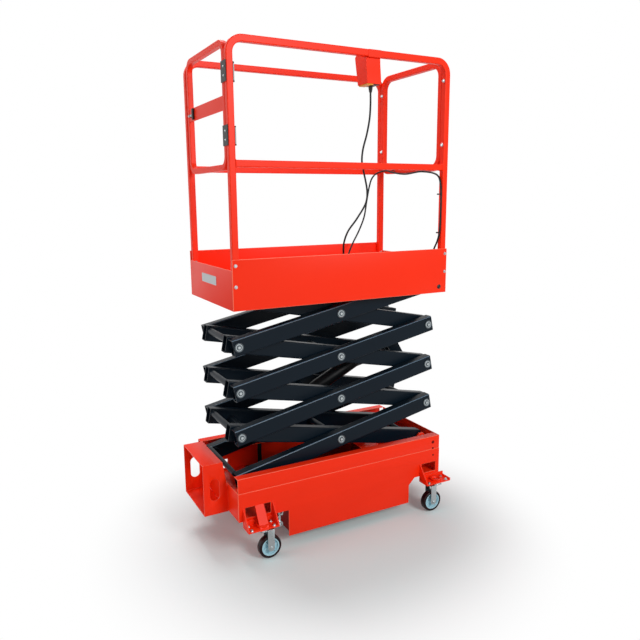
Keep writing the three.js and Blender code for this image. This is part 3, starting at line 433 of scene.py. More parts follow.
def block(low, high, edge=1.0 * MM, along=0):
    """A bar with rounded long edges between two corners, lying along one axis."""
    low, high = np.minimum(low, high), np.maximum(low, high)
    across_axes = [a for a in range(3) if a != along]
    size = high - low
    middle = (low + high) / 2
    start, end = middle.copy(), middle.copy()
    start[along], end[along] = low[along], high[along]
    side = np.zeros(3)
    side[across_axes[0]] = 1
    outline = rounded_rectangle(size[across_axes[0]], size[across_axes[1]], edge, steps=2)
    return carried(outline, [start, end], side)


# %% Pieces
def make_piece(name, parts, material, body, sharp=35):
    """Joins parts into one mesh, closes its poles, turns its faces outwards, shades it smooth
    except at sharp edges, and lets it ride on a body."""
    first = np.cumsum([0] + [len(points) for points, _ in parts])
    points = np.concatenate([points for points, _ in parts])
    faces = []
    for start, (_, arrays) in zip(first, parts):
        for array in arrays:
            faces.extend((array + start).tolist())
    mesh = bpy.data.meshes.new(name)
    mesh.from_pydata(points.tolist(), [], faces)
    return finish_piece(name, mesh, material, body, sharp)


def finish_piece(name, mesh, material, body, sharp):
    """Merges a mesh's doubles, points its faces outwards and puts it in the scene."""
    tidy = bmesh.new()
    tidy.from_mesh(mesh)
    bmesh.ops.remove_doubles(tidy, verts=tidy.verts, dist=2e-6)
    bmesh.ops.recalc_face_normals(tidy, faces=tidy.faces)
    tidy.to_mesh(mesh)
    tidy.free()
    mesh.materials.clear()
    mesh.materials.append(material)
    mesh.shade_smooth()
    mesh.set_sharp_from_angle(angle=math.radians(sharp))
    piece = bpy.data.objects.new(name, mesh)
    bpy.context.scene.collection.objects.link(piece)
    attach(piece, body)
    return piece


print("a block is", len(block((0, 0, 0), (1, 1, 1))[0]), "points")


# %% [markdown]
# ## Rounded edges
# Light catches the edges of painted sheet, and the coat pulls thin there as it melts. A
# paler coat on the rounded edges paints that highlight, with a little of the real thinning
# in it. A bevel does both jobs at once: it rounds the edge, and the faces it makes can take
# a second material. The arms are drawn as new tubes with round corners of their own, so
# there the painted highlight is picked out by the way the faces of their upper corners look.

# %% Edges
# Paler coats that paint a highlight on rounded edges, one for each paint that has one.
edge_highlight_coats = {}


def with_painted_highlight_corners(piece, coat):
    """Paints a highlight on the rounded upper corners of arms, in a second, paler finish. Their
    faces are the ones that look up and sideways at once."""
    mesh = piece.data
    mesh.materials.append(coat)
    normals = np.empty(len(mesh.polygons) * 3)
    mesh.polygons.foreach_get("normal", normals)
    normals = normals.reshape(-1, 3)
    sideways = np.abs(normals[:, 1])
    corner = (sideways > 0.25) & (sideways < 0.97) & (normals[:, 2] > 0.2)
    mesh.polygons.foreach_set("material_index", corner.astype(np.int32))


def round_edges(piece, name, width, angle):
    """A bevel of two steps on every edge that turns by more than an angle in degrees."""
    bevel = piece.modifiers.new(name, "BEVEL")
    bevel.width = width
    bevel.segments = 2
    bevel.limit_method = "ANGLE"
    bevel.angle_limit = math.radians(angle)
    bevel.harden_normals = True
    return bevel


def softened(node, material, edge=1.2 * MM, reshape=None):
    """A copy of a CAD solid, its loose triangles merged into whole flat faces, and each of its
    edges rounded, in a paler coat that paints a highlight if the material has one. It stands
    in for the solid, whose own mesh is left alone."""
    tidy = bmesh.new()
    tidy.from_mesh(frame["nodes"][node].data)
    bmesh.ops.remove_doubles(tidy, verts=tidy.verts, dist=1e-5)
    bmesh.ops.dissolve_limit(tidy, angle_limit=math.radians(0.5), verts=tidy.verts, edges=tidy.edges)
    mesh = bpy.data.meshes.new(node + "_sheet")
    tidy.to_mesh(mesh)
    tidy.free()
    if reshape:
        place = np.empty(len(mesh.vertices) * 3)
        mesh.vertices.foreach_get("co", place)
        mesh.vertices.foreach_set("co", reshape(place.reshape(-1, 3)).ravel())
    mesh.materials.clear()
    mesh.materials.append(material)
    mesh.shade_smooth()
    piece = bpy.data.objects.new(node + "_sheet", mesh)
    bpy.context.scene.collection.objects.link(piece)
    bevel = round_edges(piece, "rounded_edges", edge, 25)
    # The bevel's faces take the paler coat: a painted highlight on the edge.
    if material in edge_highlight_coats:
        mesh.materials.append(edge_highlight_coats[material])
        bevel.material = 1
    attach(piece, frame["nodes"][node]["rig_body"])
    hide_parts(node)


print("edges are rounded by 1.2 mm unless a part says more or less")

# %% [markdown]
# ## Finishes
# The machine has few finishes, each made in its own way. Powder coat is sprayed dry and
# melted in an oven, which leaves a satin skin with a fine ripple called orange peel. Zinc
# plate is bright but cloudy. The wheels are cast plastic with a polyurethane tread. Each
# material below is named for what it is, and its patterns are sized in millimetres. The two
# edge highlight coats are the paler finish of rounded edges: a painted highlight, with a
# little of the coat's real thinning at an edge in it.

# %% Powder coat
def powder_coat(name, colour, worn_colour, roughness, shine, peel_mm=2.6, peel_depth=0.10):
    """Baked powder coat: a dielectric with IOR 1.5, whose pigment dulls its gloss to satin.
    Two noises make it: the orange peel, drawn a little coarser than its real 1 mm so that
    it shows, and a slow drift of gloss and tone over about 300 mm, from hand spraying."""
    material, place = new_material(name)
    drift = add_node(material, "ShaderNodeTexNoise", Vector=place, Scale=1 / (300 * MM), Detail=3.0)
    peel = add_node(material, "ShaderNodeTexNoise", Vector=place, Scale=1 / (peel_mm * MM), Detail=1.0)
    tone = add_node(material, "ShaderNodeMix", {"data_type": "RGBA"}, Factor=(drift, 0),
                    i6=linear(colour), i7=linear(worn_colour))
    gloss = add_node(material, "ShaderNodeMapRange", Value=(drift, 0), To_Min=roughness - 0.05,
                     To_Max=roughness + 0.07)
    ripple = add_node(material, "ShaderNodeBump", Height=(peel, 0), Strength=peel_depth, Distance=0.3 * MM)
    skin = add_node(material, "ShaderNodeBsdfPrincipled", Base_Color=(tone, 2), Roughness=(gloss, 0),
                    IOR=1.5, Specular_IOR_Level=shine, Normal=(ripple, 0))
    return finish_material(material, skin)


red_powder_coat = powder_coat("red_powder_coat", "#fa2f09", "#f32a06", 0.40, 0.18)
# The equipment well is drawn in a deeper red than the rest, as painted shade where little light gets under the
# base.
well_painted_shade_red = powder_coat("well_painted_shade_red", "#8e1409", "#7c1007", 0.45, 0.12)
slate_powder_coat = powder_coat("slate_powder_coat", "#091823", "#07121b", 0.32, 0.13)
# Paler coats for rounded edges: a painted highlight, with a little of the coat's real thinning.
edge_highlight_coats[red_powder_coat] = powder_coat("red_edge_highlight_coat", "#ff8469", "#ff7558", 0.34, 0.3)
edge_highlight_coats[slate_powder_coat] = powder_coat("slate_edge_highlight_coat", "#5d7183", "#4d6172", 0.30, 0.3)
black_powder_coat = powder_coat("black_powder_coat", "#08090b", "#0c0e10", 0.34, 0.22)
# Drilled holes are drawn as thin discs in a dark red that paints the shade inside them, with nothing cut.
shaded_bore = powder_coat("shaded_bore", "#7c0d06", "#6a0a05", 0.6, 0.1)
print("powder coats:", len(bpy.data.materials) - 1)


# %% Metals
def plated(name, colour, roughness, cloud_mm, spread):
    """Plated steel: fully metallic, with clouds of gloss left by the bath, and fine scratches
    that are drawn at 1.5 mm, coarser than real ones."""
    material, place = new_material(name)
    clouds = add_node(material, "ShaderNodeTexNoise", Vector=place, Scale=1 / (cloud_mm * MM), Detail=4.0)
    scratch = add_node(material, "ShaderNodeTexNoise", Vector=place, Scale=1 / (1.5 * MM), Detail=2.0)
    gloss = add_node(material, "ShaderNodeMapRange", Value=(clouds, 0), To_Min=roughness - spread,
                     To_Max=roughness + spread)
    relief = add_node(material, "ShaderNodeBump", Height=(scratch, 0), Strength=0.06, Distance=0.1 * MM)
    metal = add_node(material, "ShaderNodeBsdfPrincipled", Base_Color=linear(colour), Metallic=1.0,
                     Roughness=(gloss, 0), Normal=(relief, 0))
    return finish_material(material, metal)


bright_zinc = plated("bright_zinc", "#b7bec0", 0.30, 9, 0.10)
# The pin plates' darker zinc also paints the shade of their dished recess.
dull_zinc_recess_shade = plated("dull_zinc_recess_shade", "#5f676c", 0.42, 12, 0.08)
hard_chrome = plated("hard_chrome", "#d9dde0", 0.10, 40, 0.03)
print("plated steels: 3")


# %% Plastics and rubber
def moulded(name, colour, roughness, grain_mm, grain_depth, shine=0.35):
    """Moulded plastic or rubber: one colour through its thickness, with the fine grain that
    a spark-eroded mould leaves, as bump."""
    material, place = new_material(name)
    grain = add_node(material, "ShaderNodeTexNoise", Vector=place, Scale=1 / (grain_mm * MM), Detail=2.0)
    gloss = add_node(material, "ShaderNodeMapRange", Value=(grain, 0), To_Min=roughness - 0.06,
                     To_Max=roughness + 0.06)
    relief = add_node(material, "ShaderNodeBump", Height=(grain, 0), Strength=grain_depth,
                      Distance=0.2 * MM)
    body = add_node(material, "ShaderNodeBsdfPrincipled", Base_Color=linear(colour), Roughness=(gloss, 0),
                    IOR=1.5, Specular_IOR_Level=shine, Normal=(relief, 0))
    return finish_material(material, body)


polyurethane_tread = moulded("polyurethane_tread", "#1a0407", 0.34, 1.2, 0.15, 0.22)
nylon_wheel_centre = moulded("nylon_wheel_centre", "#a6ccd7", 0.38, 1.5, 0.10)
black_abs = moulded("black_abs", "#131416", 0.45, 0.8, 0.20)
cable_rubber = moulded("cable_rubber", "#0a0d10", 0.46, 1.0, 0.15, 0.25)
yellow_abs = moulded("yellow_abs", "#d99a1c", 0.42, 0.8, 0.15)
pale_label_film = moulded("pale_label_film", "#c3c6c6", 0.40, 0.6, 0.08)
print("materials:", len(bpy.data.materials))

# %% [markdown]
# ## The control lead
# A rubber lead drops from the gland under the control box, lies slack across the deck, comes
# up to the left-hand middle rail and runs from there along the front frame and down the
# right-hand post, held by clips. It could be a mesh tube, but a curve with a round bevel keeps its own
# line, so its length can be measured. The points are the ones its route was designed with.

# %% Lead
LEAD_RADIUS = 4.5 * MM
gland_low, gland_high = corners("cable_gland")
box_low, box_high = corners("control_box")
frame_low, frame_high = corners("front_guardrail")
left_rail_low, _ = corners("left_guardrail")
LEAD_STANDOFF = 1.5 * MM
SLACK = 0.3 * MM
lead_x = (gland_low[0] + gland_high[0]) / 2
lead_y = (gland_low[1] + gland_high[1]) / 2
beside_frame = frame_low[0] - LEAD_RADIUS - LEAD_STANDOFF
beside_rail = left_rail_low[1] - LEAD_RADIUS - LEAD_STANDOFF
on_deck = DECK_TOP + LEAD_RADIUS + SLACK
EXIT = (lead_x, lead_y, gland_low[2] - SLACK)


def from_tray(x, y, z):
    """A point given in millimetres from the tray's rear end, the centre plane and the floor."""
    return (TRAY_REAR + x * MM, y * MM, z * MM)


lead_route = [
    EXIT,
    (lead_x + 1 * MM, lead_y + 1 * MM, 2.110),
    from_tray(734, -244, 2045),
    from_tray(722, -240, 1974),
    from_tray(703, -234, 1897),
    from_tray(702, -228, 1846),
    from_tray(712, -225, 1806),
    from_tray(738, -219, 1706),
    from_tray(735, -214, 1652),
    from_tray(688, -208, 1576),
    from_tray(640, -201, 1513),
    from_tray(624, -191, 1459),
    from_tray(629, -178, 1408),
    from_tray(650, -156, 1357),
    from_tray(690, -122, 1315),
    (TRAY_REAR + 740 * MM, -78 * MM, on_deck + 3 * MM),
    (TRAY_REAR + 795 * MM, -15 * MM, on_deck + 1 * MM),
    (TRAY_REAR + 835 * MM, 60 * MM, on_deck + 1 * MM),
    (TRAY_REAR + 858 * MM, 140 * MM, on_deck + 2 * MM),
    (TRAY_REAR + 876 * MM, 205 * MM, on_deck + 24 * MM),
    from_tray(902, 232, 1360),
    from_tray(936, 238, 1425),
    from_tray(974, 240, 1487),
    from_tray(1012, 243, 1567),
    from_tray(1030, 246, 1650),
    from_tray(1053, 252, 1742),
    (TRAY_REAR + 1073 * MM, beside_rail - 5 * MM, 1.782),
    from_tray(1093, 257.5, 1805),
    from_tray(1110, 246, 1817),
    from_tray(1122.5, 225.5, 1823),
    (beside_frame, 0.185, 1.824),
    (beside_frame, 0.140, 1.814),
    (beside_frame, 0.016, 1.800),
    (beside_frame, -0.140, 1.807),
    (beside_frame, -0.269, 1.781),
    (beside_frame, -0.291, 1.738),
    (beside_frame, -0.292, 1.500),
    (beside_frame - 2 * MM, -0.280, 1.455),
    (beside_frame - 9 * MM, -0.258, 1.400),
    (beside_frame - 12 * MM, -0.250, DECK_TOP + SLACK),
]


def smooth_route(points, samples=12):
    """A centripetal Catmull-Rom curve through the points: each span is blended from its four
    neighbouring points, with knots spaced by the square root of the distance between them."""
    points = np.array(points, float)
    first, last = 2 * points[0] - points[1], 2 * points[-1] - points[-2]
    points = np.vstack([first, points, last])
    p0, p1, p2, p3 = points[:-3], points[1:-2], points[2:-1], points[3:]
    spans = ((p0, p1), (p1, p2), (p2, p3))
    step = [np.sqrt(np.linalg.norm(b - a, axis=1))[:, None, None] for a, b in spans]
    t1 = step[0]
    t2 = t1 + step[1]
    t3 = t2 + step[2]
    t = t1 + (t2 - t1) * np.linspace(0, 1, samples, endpoint=False)[None, :, None]
    p0, p1, p2, p3 = (p[:, None] for p in (p0, p1, p2, p3))
    a1 = (t1 - t) / t1 * p0 + t / t1 * p1
    a2 = (t2 - t) / (t2 - t1) * p1 + (t - t1) / (t2 - t1) * p2
    a3 = (t3 - t) / (t3 - t2) * p2 + (t - t2) / (t3 - t2) * p3
    b1 = (t2 - t) / t2 * a1 + t / t2 * a2
    b2 = (t3 - t) / (t3 - t1) * a2 + (t - t1) / (t3 - t1) * a3
    curve = (t2 - t) / (t2 - t1) * b1 + (t - t1) / (t2 - t1) * b2
    return np.vstack([curve.reshape(-1, 3), points[-2]])


lead_line = smooth_route(lead_route)
lead_curve = bpy.data.curves.new("rubber_lead", "CURVE")
lead_curve.dimensions = "3D"
lead_curve.bevel_depth = LEAD_RADIUS
lead_curve.bevel_resolution = 4
lead_curve.use_fill_caps = True
lead_spline = lead_curve.splines.new("POLY")
lead_spline.points.add(len(lead_line) - 1)
lead_spline.points.foreach_set("co", np.column_stack([lead_line, np.ones(len(lead_line))]).ravel())
lead_curve.materials.append(cable_rubber)
lead = bpy.data.objects.new("rubber_lead", lead_curve)
bpy.context.scene.collection.objects.link(lead)
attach(lead, "platform")
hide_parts("control_lead")

# %% [markdown]
# ## Fasteners
# Most joints on this machine are a hexagon bolt on a washer. One function makes them all:
# two profiles turned about the bolt's axis, round for the washer and with six sides for
# the head, whose corners are chamfered as a forged head's are.

# %% Bolts
def bolt(place, axis, across=10 * MM, height=4.5 * MM, washer=0.0, washer_height=1.5 * MM):
    """A head of a given radius over its corners, standing on a washer of a given radius."""
    place, axis = np.array(place, float), np.array(axis, float)
    parts = []
    if washer:
        parts.append(turned(stub(washer, washer_height, 0.3 * washer_height), place, axis, 28))
        place = place + axis * washer_height
    radius = across / 2
    head = [(0, 0), (radius, 0), (radius, 0.72 * height), (0.88 * radius, height), (0, height)]
    parts.append(turned(head, place, axis, 6))
    return parts


def bead(outline_path, side, radius=2.4 * MM):
    """A fillet weld: a small round profile carried once around a joint."""
    return carried(circle(radius, 8), outline_path, side, closed=True)


print("a bolt with its washer is", len(bolt((0, 0, 0), (0, 0, 1), washer=8 * MM)), "parts")

# %% [markdown]
# ## The platform tray
# The tray is folded sheet: four toe boards around a plain deck. Their shape is exact
# in the construction, so each is a copy of its solid with the edges rounded by 1 to 1.6 mm,
# which is what gives folded sheet its thin highlight. The slide tracks under the deck are the same.

# %% Tray sheets
for side, _ in SIDES:
    softened(f"{side}_toe_board", red_powder_coat, 1.6 * MM)
    softened(f"{side}_slide_track", red_powder_coat, 1.0 * MM)
softened("rear_toe_board", red_powder_coat, 1.2 * MM)
softened("front_toe_board", red_powder_coat, 1.2 * MM)
softened("platform_deck", red_powder_coat, 1.0 * MM)
print("tray %.0f by %.0f mm" % ((TRAY_FRONT - TRAY_REAR) / MM, 2 * TRAY_SIDE / MM))

# %% Deck ribs, tray bolts, plug and blank plate
RIB_STEP, RIB_DEPTH = 146 * MM, 8 * MM
deck_low, deck_high = corners("platform_deck")
rib_places = np.arange(deck_low[0] + 80 * MM, deck_high[0] - 60 * MM, RIB_STEP)
RIB_HALF, RIB_INSET = 12 * MM, 50 * MM
ribs = [block((x - RIB_HALF, deck_low[1] + RIB_INSET, deck_low[2] - RIB_DEPTH),
              (x + RIB_HALF, deck_high[1] - RIB_INSET, deck_low[2]), 1.5 * MM, along=1) for x in rib_places]
make_piece("deck_cross_ribs", ribs, red_powder_coat, "platform")

TRAY_BOLTS = ((16, 199), (15, 107), (1158, 200), (1159, 108))
tray_bolts = []
for _, sign in SIDES:
    for x, z in TRAY_BOLTS:
        tray_bolts += bolt((TRAY_REAR + x * MM, sign * TRAY_SIDE, TRAY_BOTTOM + z * MM), (0, sign, 0),
                           12 * MM, 4 * MM, 8 * MM)
make_piece("tray_side_bolts", tray_bolts, bright_zinc, "platform")

plug_profile = in_mm((0, 3.2), (8, 3), (11, 1), (11, 0), (0, 0))
plug_place = (TRAY_REAR + 1125 * MM, -TRAY_SIDE, TRAY_BOTTOM + 31 * MM)
make_piece("lead_outlet_plug", [turned(plug_profile, plug_place, (0, -1, 0))],
           black_abs, "platform")

plate_outline = rounded_rectangle(207 * MM, 42 * MM, 6 * MM)
plate_place = np.array([TRAY_REAR, 12.5 * MM, TRAY_BOTTOM + 112 * MM])
make_piece("blank_nameplate",
           [carried(plate_outline, [plate_place, plate_place - (1.2 * MM, 0, 0)], (0, 1, 0))],
           pale_label_film, "platform")
rivet_profile = in_mm((0, 0), (3, 0), (2.4, 1), (0, 1.4))
rivets = [turned(rivet_profile, plate_place + (-1.2 * MM, y, 0), (-1, 0, 0), 16) for y in (-96 * MM, 96 * MM)]
make_piece("nameplate_rivets", rivets, bright_zinc, "platform")

bumper_profile = in_mm((0, -16), (9, -16), (11, -13), (11, -3), (13, 0), (0, 0))
bumpers = [turned(bumper_profile, (TRAY_REAR + 17 * MM, y, TRAY_BOTTOM + 16 * MM), (0, 0, 1), 24)
           for y in (72 * MM, -196 * MM)]
make_piece("tray_bumpers", bumpers, black_abs, "platform")
print("deck ribs:", len(rib_places), "tray bolts:", 2 * len(TRAY_BOLTS))

# %% [markdown]
# ## Guardrails
# Each side is one square tube, cold bent at two corners, with a middle rail welded in. A
# bend in square tube keeps its section, so the shape is a rounded square carried along a
# path of straights and arcs. The alternative, a curve with a bevel, would shade the flats
# as if they were round.

# %% Side rails and front frame
TUBE_CORNER = 4.0 * MM
BEND = 60 * MM
half_tube = RAIL_TUBE / 2
tube_outline = rounded_rectangle(RAIL_TUBE, RAIL_TUBE, TUBE_CORNER)
MID_RAIL_Z = frame_low[2] + half_tube
POST_REAR = rail_low[0] + half_tube
POST_FRONT = rail_high[0] - half_tube
foot_z = rail_low[2]
top_z = RAIL_TOP - half_tube


def joint_bead(x, y, z, direction):
    """The weld around a middle rail's end, in the plane of the post's face."""
    size = RAIL_TUBE + 1.0 * MM
    outline = rounded_rectangle(size, size, TUBE_CORNER, steps=3)
    place = np.column_stack([np.full(len(outline), x), y + outline[:, 0], z + outline[:, 1]])
    return bead(place, (direction, 0, 0))


for side, sign in SIDES:
    low, high = corners(f"{side}_guardrail")
    y = (low[1] + high[1]) / 2
    arch = bent_path([(POST_REAR, y, foot_z), (POST_REAR, y, top_z), (POST_FRONT, y, top_z),
                      (POST_FRONT, y, foot_z)], BEND, steps=10)
    inner_rear, inner_front = POST_REAR + half_tube, POST_FRONT - half_tube
    parts = [carried(tube_outline, arch, (0, 1, 0)),
             carried(tube_outline, [(inner_rear, y, MID_RAIL_Z), (inner_front, y, MID_RAIL_Z)], (0, 1, 0)),
             joint_bead(inner_rear, y, MID_RAIL_Z, 1), joint_bead(inner_front, y, MID_RAIL_Z, -1)]
    piece = make_piece(f"{side}_rail_tube", parts, red_powder_coat, "platform")
    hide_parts(f"{side}_guardrail")

frame_half = frame_high[1] - half_tube
ring_corners = [(POST_FRONT, -frame_half, MID_RAIL_Z), (POST_FRONT, frame_half, MID_RAIL_Z),
                (POST_FRONT, frame_half, top_z), (POST_FRONT, -frame_half, top_z)]
ring = bent_path(ring_corners, BEND, steps=10, closed=True)
front_tube = make_piece("front_frame_tube", [carried(tube_outline, ring, (1, 0, 0), closed=True)],
                        red_powder_coat, "platform")
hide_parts("front_guardrail")
print("top rail %.2f m above the deck" % (RAIL_TOP - DECK_TOP))

# %% Frame bolts and post feet
FRAME_BOLTS = ((-287, 1044), (-287, 740), (255, 1046), (255, 741))
frame_bolts = []
for y, z in FRAME_BOLTS:
    frame_bolts += bolt((POST_FRONT - half_tube, y * MM, TRAY_BOTTOM + z * MM), (-1, 0, 0),
                        13 * MM, 6 * MM, 9 * MM)
for x in (POST_REAR, POST_FRONT):
    for _, sign in SIDES:
        for rise in (30 * MM, 75 * MM):
            frame_bolts += bolt((x, sign * left_rail_low[1], foot_z + rise), (0, -sign, 0),
                                12 * MM, 5 * MM, 8 * MM)
make_piece("guardrail_bolts", frame_bolts, bright_zinc, "platform")
print("guardrail bolts:", len(frame_bolts) // 2)

# %% [markdown]
# ## The gate
# The gate is a ring of lighter tube with a flat band across it, hung on two spring hinges,
# and it opens inwards. Black hinge leaves lap over the gap at the post. The spring barrels
# stand behind the post, ribbed by the coils that show between their caps.

# %% Gate
gate_low, gate_high = corners("gate")
GATE_TUBE = 26 * MM
gate_half_tube = GATE_TUBE / 2
gate_x = (gate_low[0] + gate_high[0]) / 2
gate_y0, gate_y1 = gate_low[1] + gate_half_tube, gate_high[1] - gate_half_tube
gate_z0, gate_z1 = gate_low[2] + gate_half_tube, gate_high[2] - gate_half_tube
gate_path = bent_path([(gate_x, gate_y0, gate_z0), (gate_x, gate_y1, gate_z0), (gate_x, gate_y1, gate_z1),
                       (gate_x, gate_y0, gate_z1)], 49 * MM, steps=10, closed=True)
gate_outline = rounded_rectangle(GATE_TUBE, GATE_TUBE, 3.5 * MM)
BAND_TOP, BAND_HEIGHT, BAND_SHEET = 910 * MM, 60 * MM, 6 * MM
band_x = gate_low[0] + 2 * MM
band_end = gate_half_tube - 2 * MM
band = block((band_x, gate_y0 + band_end, TRAY_BOTTOM + BAND_TOP - BAND_HEIGHT),
             (band_x + BAND_SHEET, gate_y1 - band_end, TRAY_BOTTOM + BAND_TOP), 1.5 * MM, along=1)
gate = make_piece("gate_tube", [carried(gate_outline, gate_path, (1, 0, 0), closed=True), band],
                  red_powder_coat, "gate")
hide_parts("gate")
print("gate spans %.0f mm" % ((gate_high[1] - gate_low[1]) / MM))

# %% Latch
latch_y = gate_y1 - gate_half_tube
latch_z = TRAY_BOTTOM + 880 * MM
latch_x = gate_low[0]
band_face = band_x + BAND_SHEET
make_piece("gate_latch",
           [block((latch_x - 8 * MM, latch_y - 78 * MM, latch_z - 24 * MM),
                  (latch_x + 2 * MM, latch_y - 60 * MM, latch_z + 26 * MM), 3 * MM, along=2),
            block((band_face, latch_y - 84 * MM, latch_z - 16 * MM),
                  (band_face + 16 * MM, latch_y - 40 * MM, latch_z + 16 * MM), 4 * MM, along=1)],
           black_abs, "gate")
pin_foot = np.array([latch_x - 4 * MM, latch_y - 60 * MM, latch_z - 4 * MM])
latch_pin = turned(in_mm((0, 0), (5, 0), (5, 52), (4, 54), (0, 54)), pin_foot, (0, 1, 0), 20)
pin_collar = turned(stub(8 * MM, 4 * MM, 1 * MM), pin_foot + (0, 30 * MM, 0), (0, 1, 0), 20)
make_piece("gate_latch_pin", [latch_pin, pin_collar], bright_zinc, "gate")
print("latch %.0f mm above the tray's lower edge" % ((latch_z - TRAY_BOTTOM) / MM))

# %% Spring hinges
HINGE_HEIGHTS = {"upper": 1000 * MM, "lower": 745 * MM}
LEAF_Y0, LEAF_SCREW_Y, LEAF_Y1 = -301 * MM, -276 * MM, -241 * MM
LEAF_SHEET = 3.5 * MM
KNUCKLE_RADIUS = 7 * MM
leaf_x = POST_REAR - half_tube - LEAF_SHEET
barrel_cap = in_mm((0, 0), (6.2, 0), (6.8, 1), (6.8, 6), (0, 6))


def spring_barrel(place, radius, length, coils):
    """A spring in its barrel: the radius swells and falls once for every coil."""
    half = length / 2
    rise = np.linspace(-half + 8 * MM, half - 8 * MM, coils * 4 + 1)
    swell = radius - 0.9 * MM * (0.5 + 0.5 * np.cos(np.linspace(0, coils * 2 * np.pi, len(rise))))
    ends = [(0, -half + 5 * MM), (radius - 1.2 * MM, -half + 5 * MM)]
    tops = [(radius - 1.2 * MM, half - 5 * MM), (0, half - 5 * MM)]
    return turned(ends + list(zip(swell, rise)) + tops, place, (0, 0, 1), 24)


for name, height in HINGE_HEIGHTS.items():
    low, high = corners(f"gate_hinge_{name}")
    z = TRAY_BOTTOM + height
    length = high[2] - low[2]
    knuckle = np.array([high[0] - KNUCKLE_RADIUS, high[1] - KNUCKLE_RADIUS, z])
    barrel = make_piece(f"gate_spring_{name}", [spring_barrel(knuckle, KNUCKLE_RADIUS, length, 12)],
                        bright_zinc, "platform")
    gate_half, post_half = 38 * MM, 42 * MM
    leaf = [block((low[0], low[1], z - gate_half), (low[0] + 3 * MM, knuckle[1], z + gate_half),
                  1 * MM, along=2),
            block((leaf_x, LEAF_Y0, z - post_half), (leaf_x + LEAF_SHEET, LEAF_Y1, z + post_half),
                  1.4 * MM, along=2),
            turned(barrel_cap, knuckle - (0, 0, length / 2), (0, 0, 1), 20),
            turned(barrel_cap, knuckle + (0, 0, length / 2), (0, 0, -1), 20)]
    make_piece(f"gate_leaf_{name}", leaf, black_powder_coat, "platform")
    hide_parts(f"gate_hinge_{name}")
    screws = []
    for rise in (-18 * MM, 18 * MM):
        screws += bolt((leaf_x, LEAF_SCREW_Y, z + rise), (-1, 0, 0), 7 * MM, 2.5 * MM, 5 * MM, 1 * MM)
    make_piece(f"gate_leaf_screws_{name}", screws, bright_zinc, "platform")
print("spring hinges:", len(HINGE_HEIGHTS))

# %% [markdown]
# ## The control box
# The box is one sheet folded over the top rail: it hangs inside, and a strip of it laps the
# rail's outer face, where it is bolted. Below the rail it curves in to the box's foot. The
# controls are in the unit that fills it from below, whose amber rim shows at the edge.

# %% Control box
box_x0, box_x1 = box_low[0], box_high[0]
box_foot, box_top = box_low[2], box_high[2]
box_back = box_high[1]
rail_outer_y = rail_low[1]
rail_inner_y = rail_outer_y + RAIL_TUBE
rail_under = RAIL_TOP - RAIL_TUBE


def box_face():
    """The wall that faces out, from under the rail down to the foot: it starts set back
    under the rail, and the set-back fades by the square of a cosine on the way down."""
    drop = np.linspace(0, 1, 14)
    z = rail_under - 4 * MM - drop * (rail_under - 4 * MM - box_foot)
    y = rail_outer_y + 4 * MM + 9 * MM * np.cos(drop * np.pi / 2) ** 2
    return np.column_stack([y, z])


BOX_SLOPE = 20 * MM
back_foot_y = rail_inner_y + 56 * MM
beside_rail_y = rail_inner_y + 0.4 * MM
outline = np.vstack([
    box_face(),
    [(back_foot_y, box_foot), (box_back, box_top - BOX_SLOPE), (box_back - BOX_SLOPE, box_top),
     (beside_rail_y, box_top), (beside_rail_y, rail_under - 1 * MM),
     (rail_outer_y + 16 * MM, rail_under - 1 * MM)]])
control_shell = capped([np.column_stack([np.full(len(outline), x), outline]) for x in (box_x0, box_x1)])
STRIP = 1.6 * MM
strip = [block((box_x0 + 4 * MM, rail_outer_y - STRIP, rail_under - 3 * MM),
               (box_x1 - 4 * MM, rail_outer_y, RAIL_TOP), 0.7 * MM, along=0),
         block((box_x0 + 4 * MM, rail_outer_y, rail_under - 3 * MM),
               (box_x1 - 4 * MM, rail_outer_y + 14 * MM, rail_under - 1.2 * MM), 0.7 * MM, along=0)]
control = make_piece("control_box_sheet", [control_shell] + strip, red_powder_coat, "platform",
                     sharp=30)
round_edges(control, "folded_edges", 1.4 * MM, 40)
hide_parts("control_box")
print("control box %.0f mm deep" % ((box_back - rail_outer_y) / MM))

# %% Control unit, buttons and gland
unit_y0, unit_y1 = rail_outer_y + 8 * MM, back_foot_y - 4 * MM
unit_top = box_foot + 1 * MM
unit_rim = block((box_x0 + 3 * MM, unit_y0, box_foot - 5 * MM), (box_x0 + 36 * MM, unit_y1, unit_top),
                 1.5 * MM, along=1)
unit_base = block((box_x0 + 36.5 * MM, unit_y0 + 4 * MM, box_foot - 3 * MM),
                  (box_x1 - 3 * MM, unit_y1, unit_top), 1.5 * MM, along=1)
make_piece("control_unit_rim", [unit_rim], yellow_abs, "platform")
make_piece("control_unit_base", [unit_base], black_abs, "platform")
panel_foot = np.array([(box_x0 + box_x1) / 2, back_foot_y, box_foot])
panel_rise = np.array([0, box_back - back_foot_y, box_top - BOX_SLOPE - box_foot])
panel_normal = np.array([0, panel_rise[2], -panel_rise[1]]) / np.linalg.norm(panel_rise)
key_switch = panel_foot + 0.25 * panel_rise
rocker = panel_foot + 0.5 * panel_rise
stop_button = panel_foot + 0.76 * panel_rise
button = in_mm((0, 0), (10.4, 0), (10.4, 1.8), (5.6, 2.4), (5.6, 4.2), (11.2, 5.4), (11.6, 7.2),
               (8.8, 9), (0, 9.6))
make_piece("emergency_stop_button", [turned(button, stop_button, panel_normal)],
           red_powder_coat, "platform")
key_profile = in_mm((0, 0), (9, 0), (9, 3), (7, 4), (0, 4))
rocker_profile = in_mm((0, 0), (11, 0), (11, 2), (5, 3), (4, 9), (0, 9))
switches = [turned(key_profile, key_switch, panel_normal, 24),
            turned(rocker_profile, rocker, panel_normal, 24)]
make_piece("control_switches", switches, black_abs, "platform")

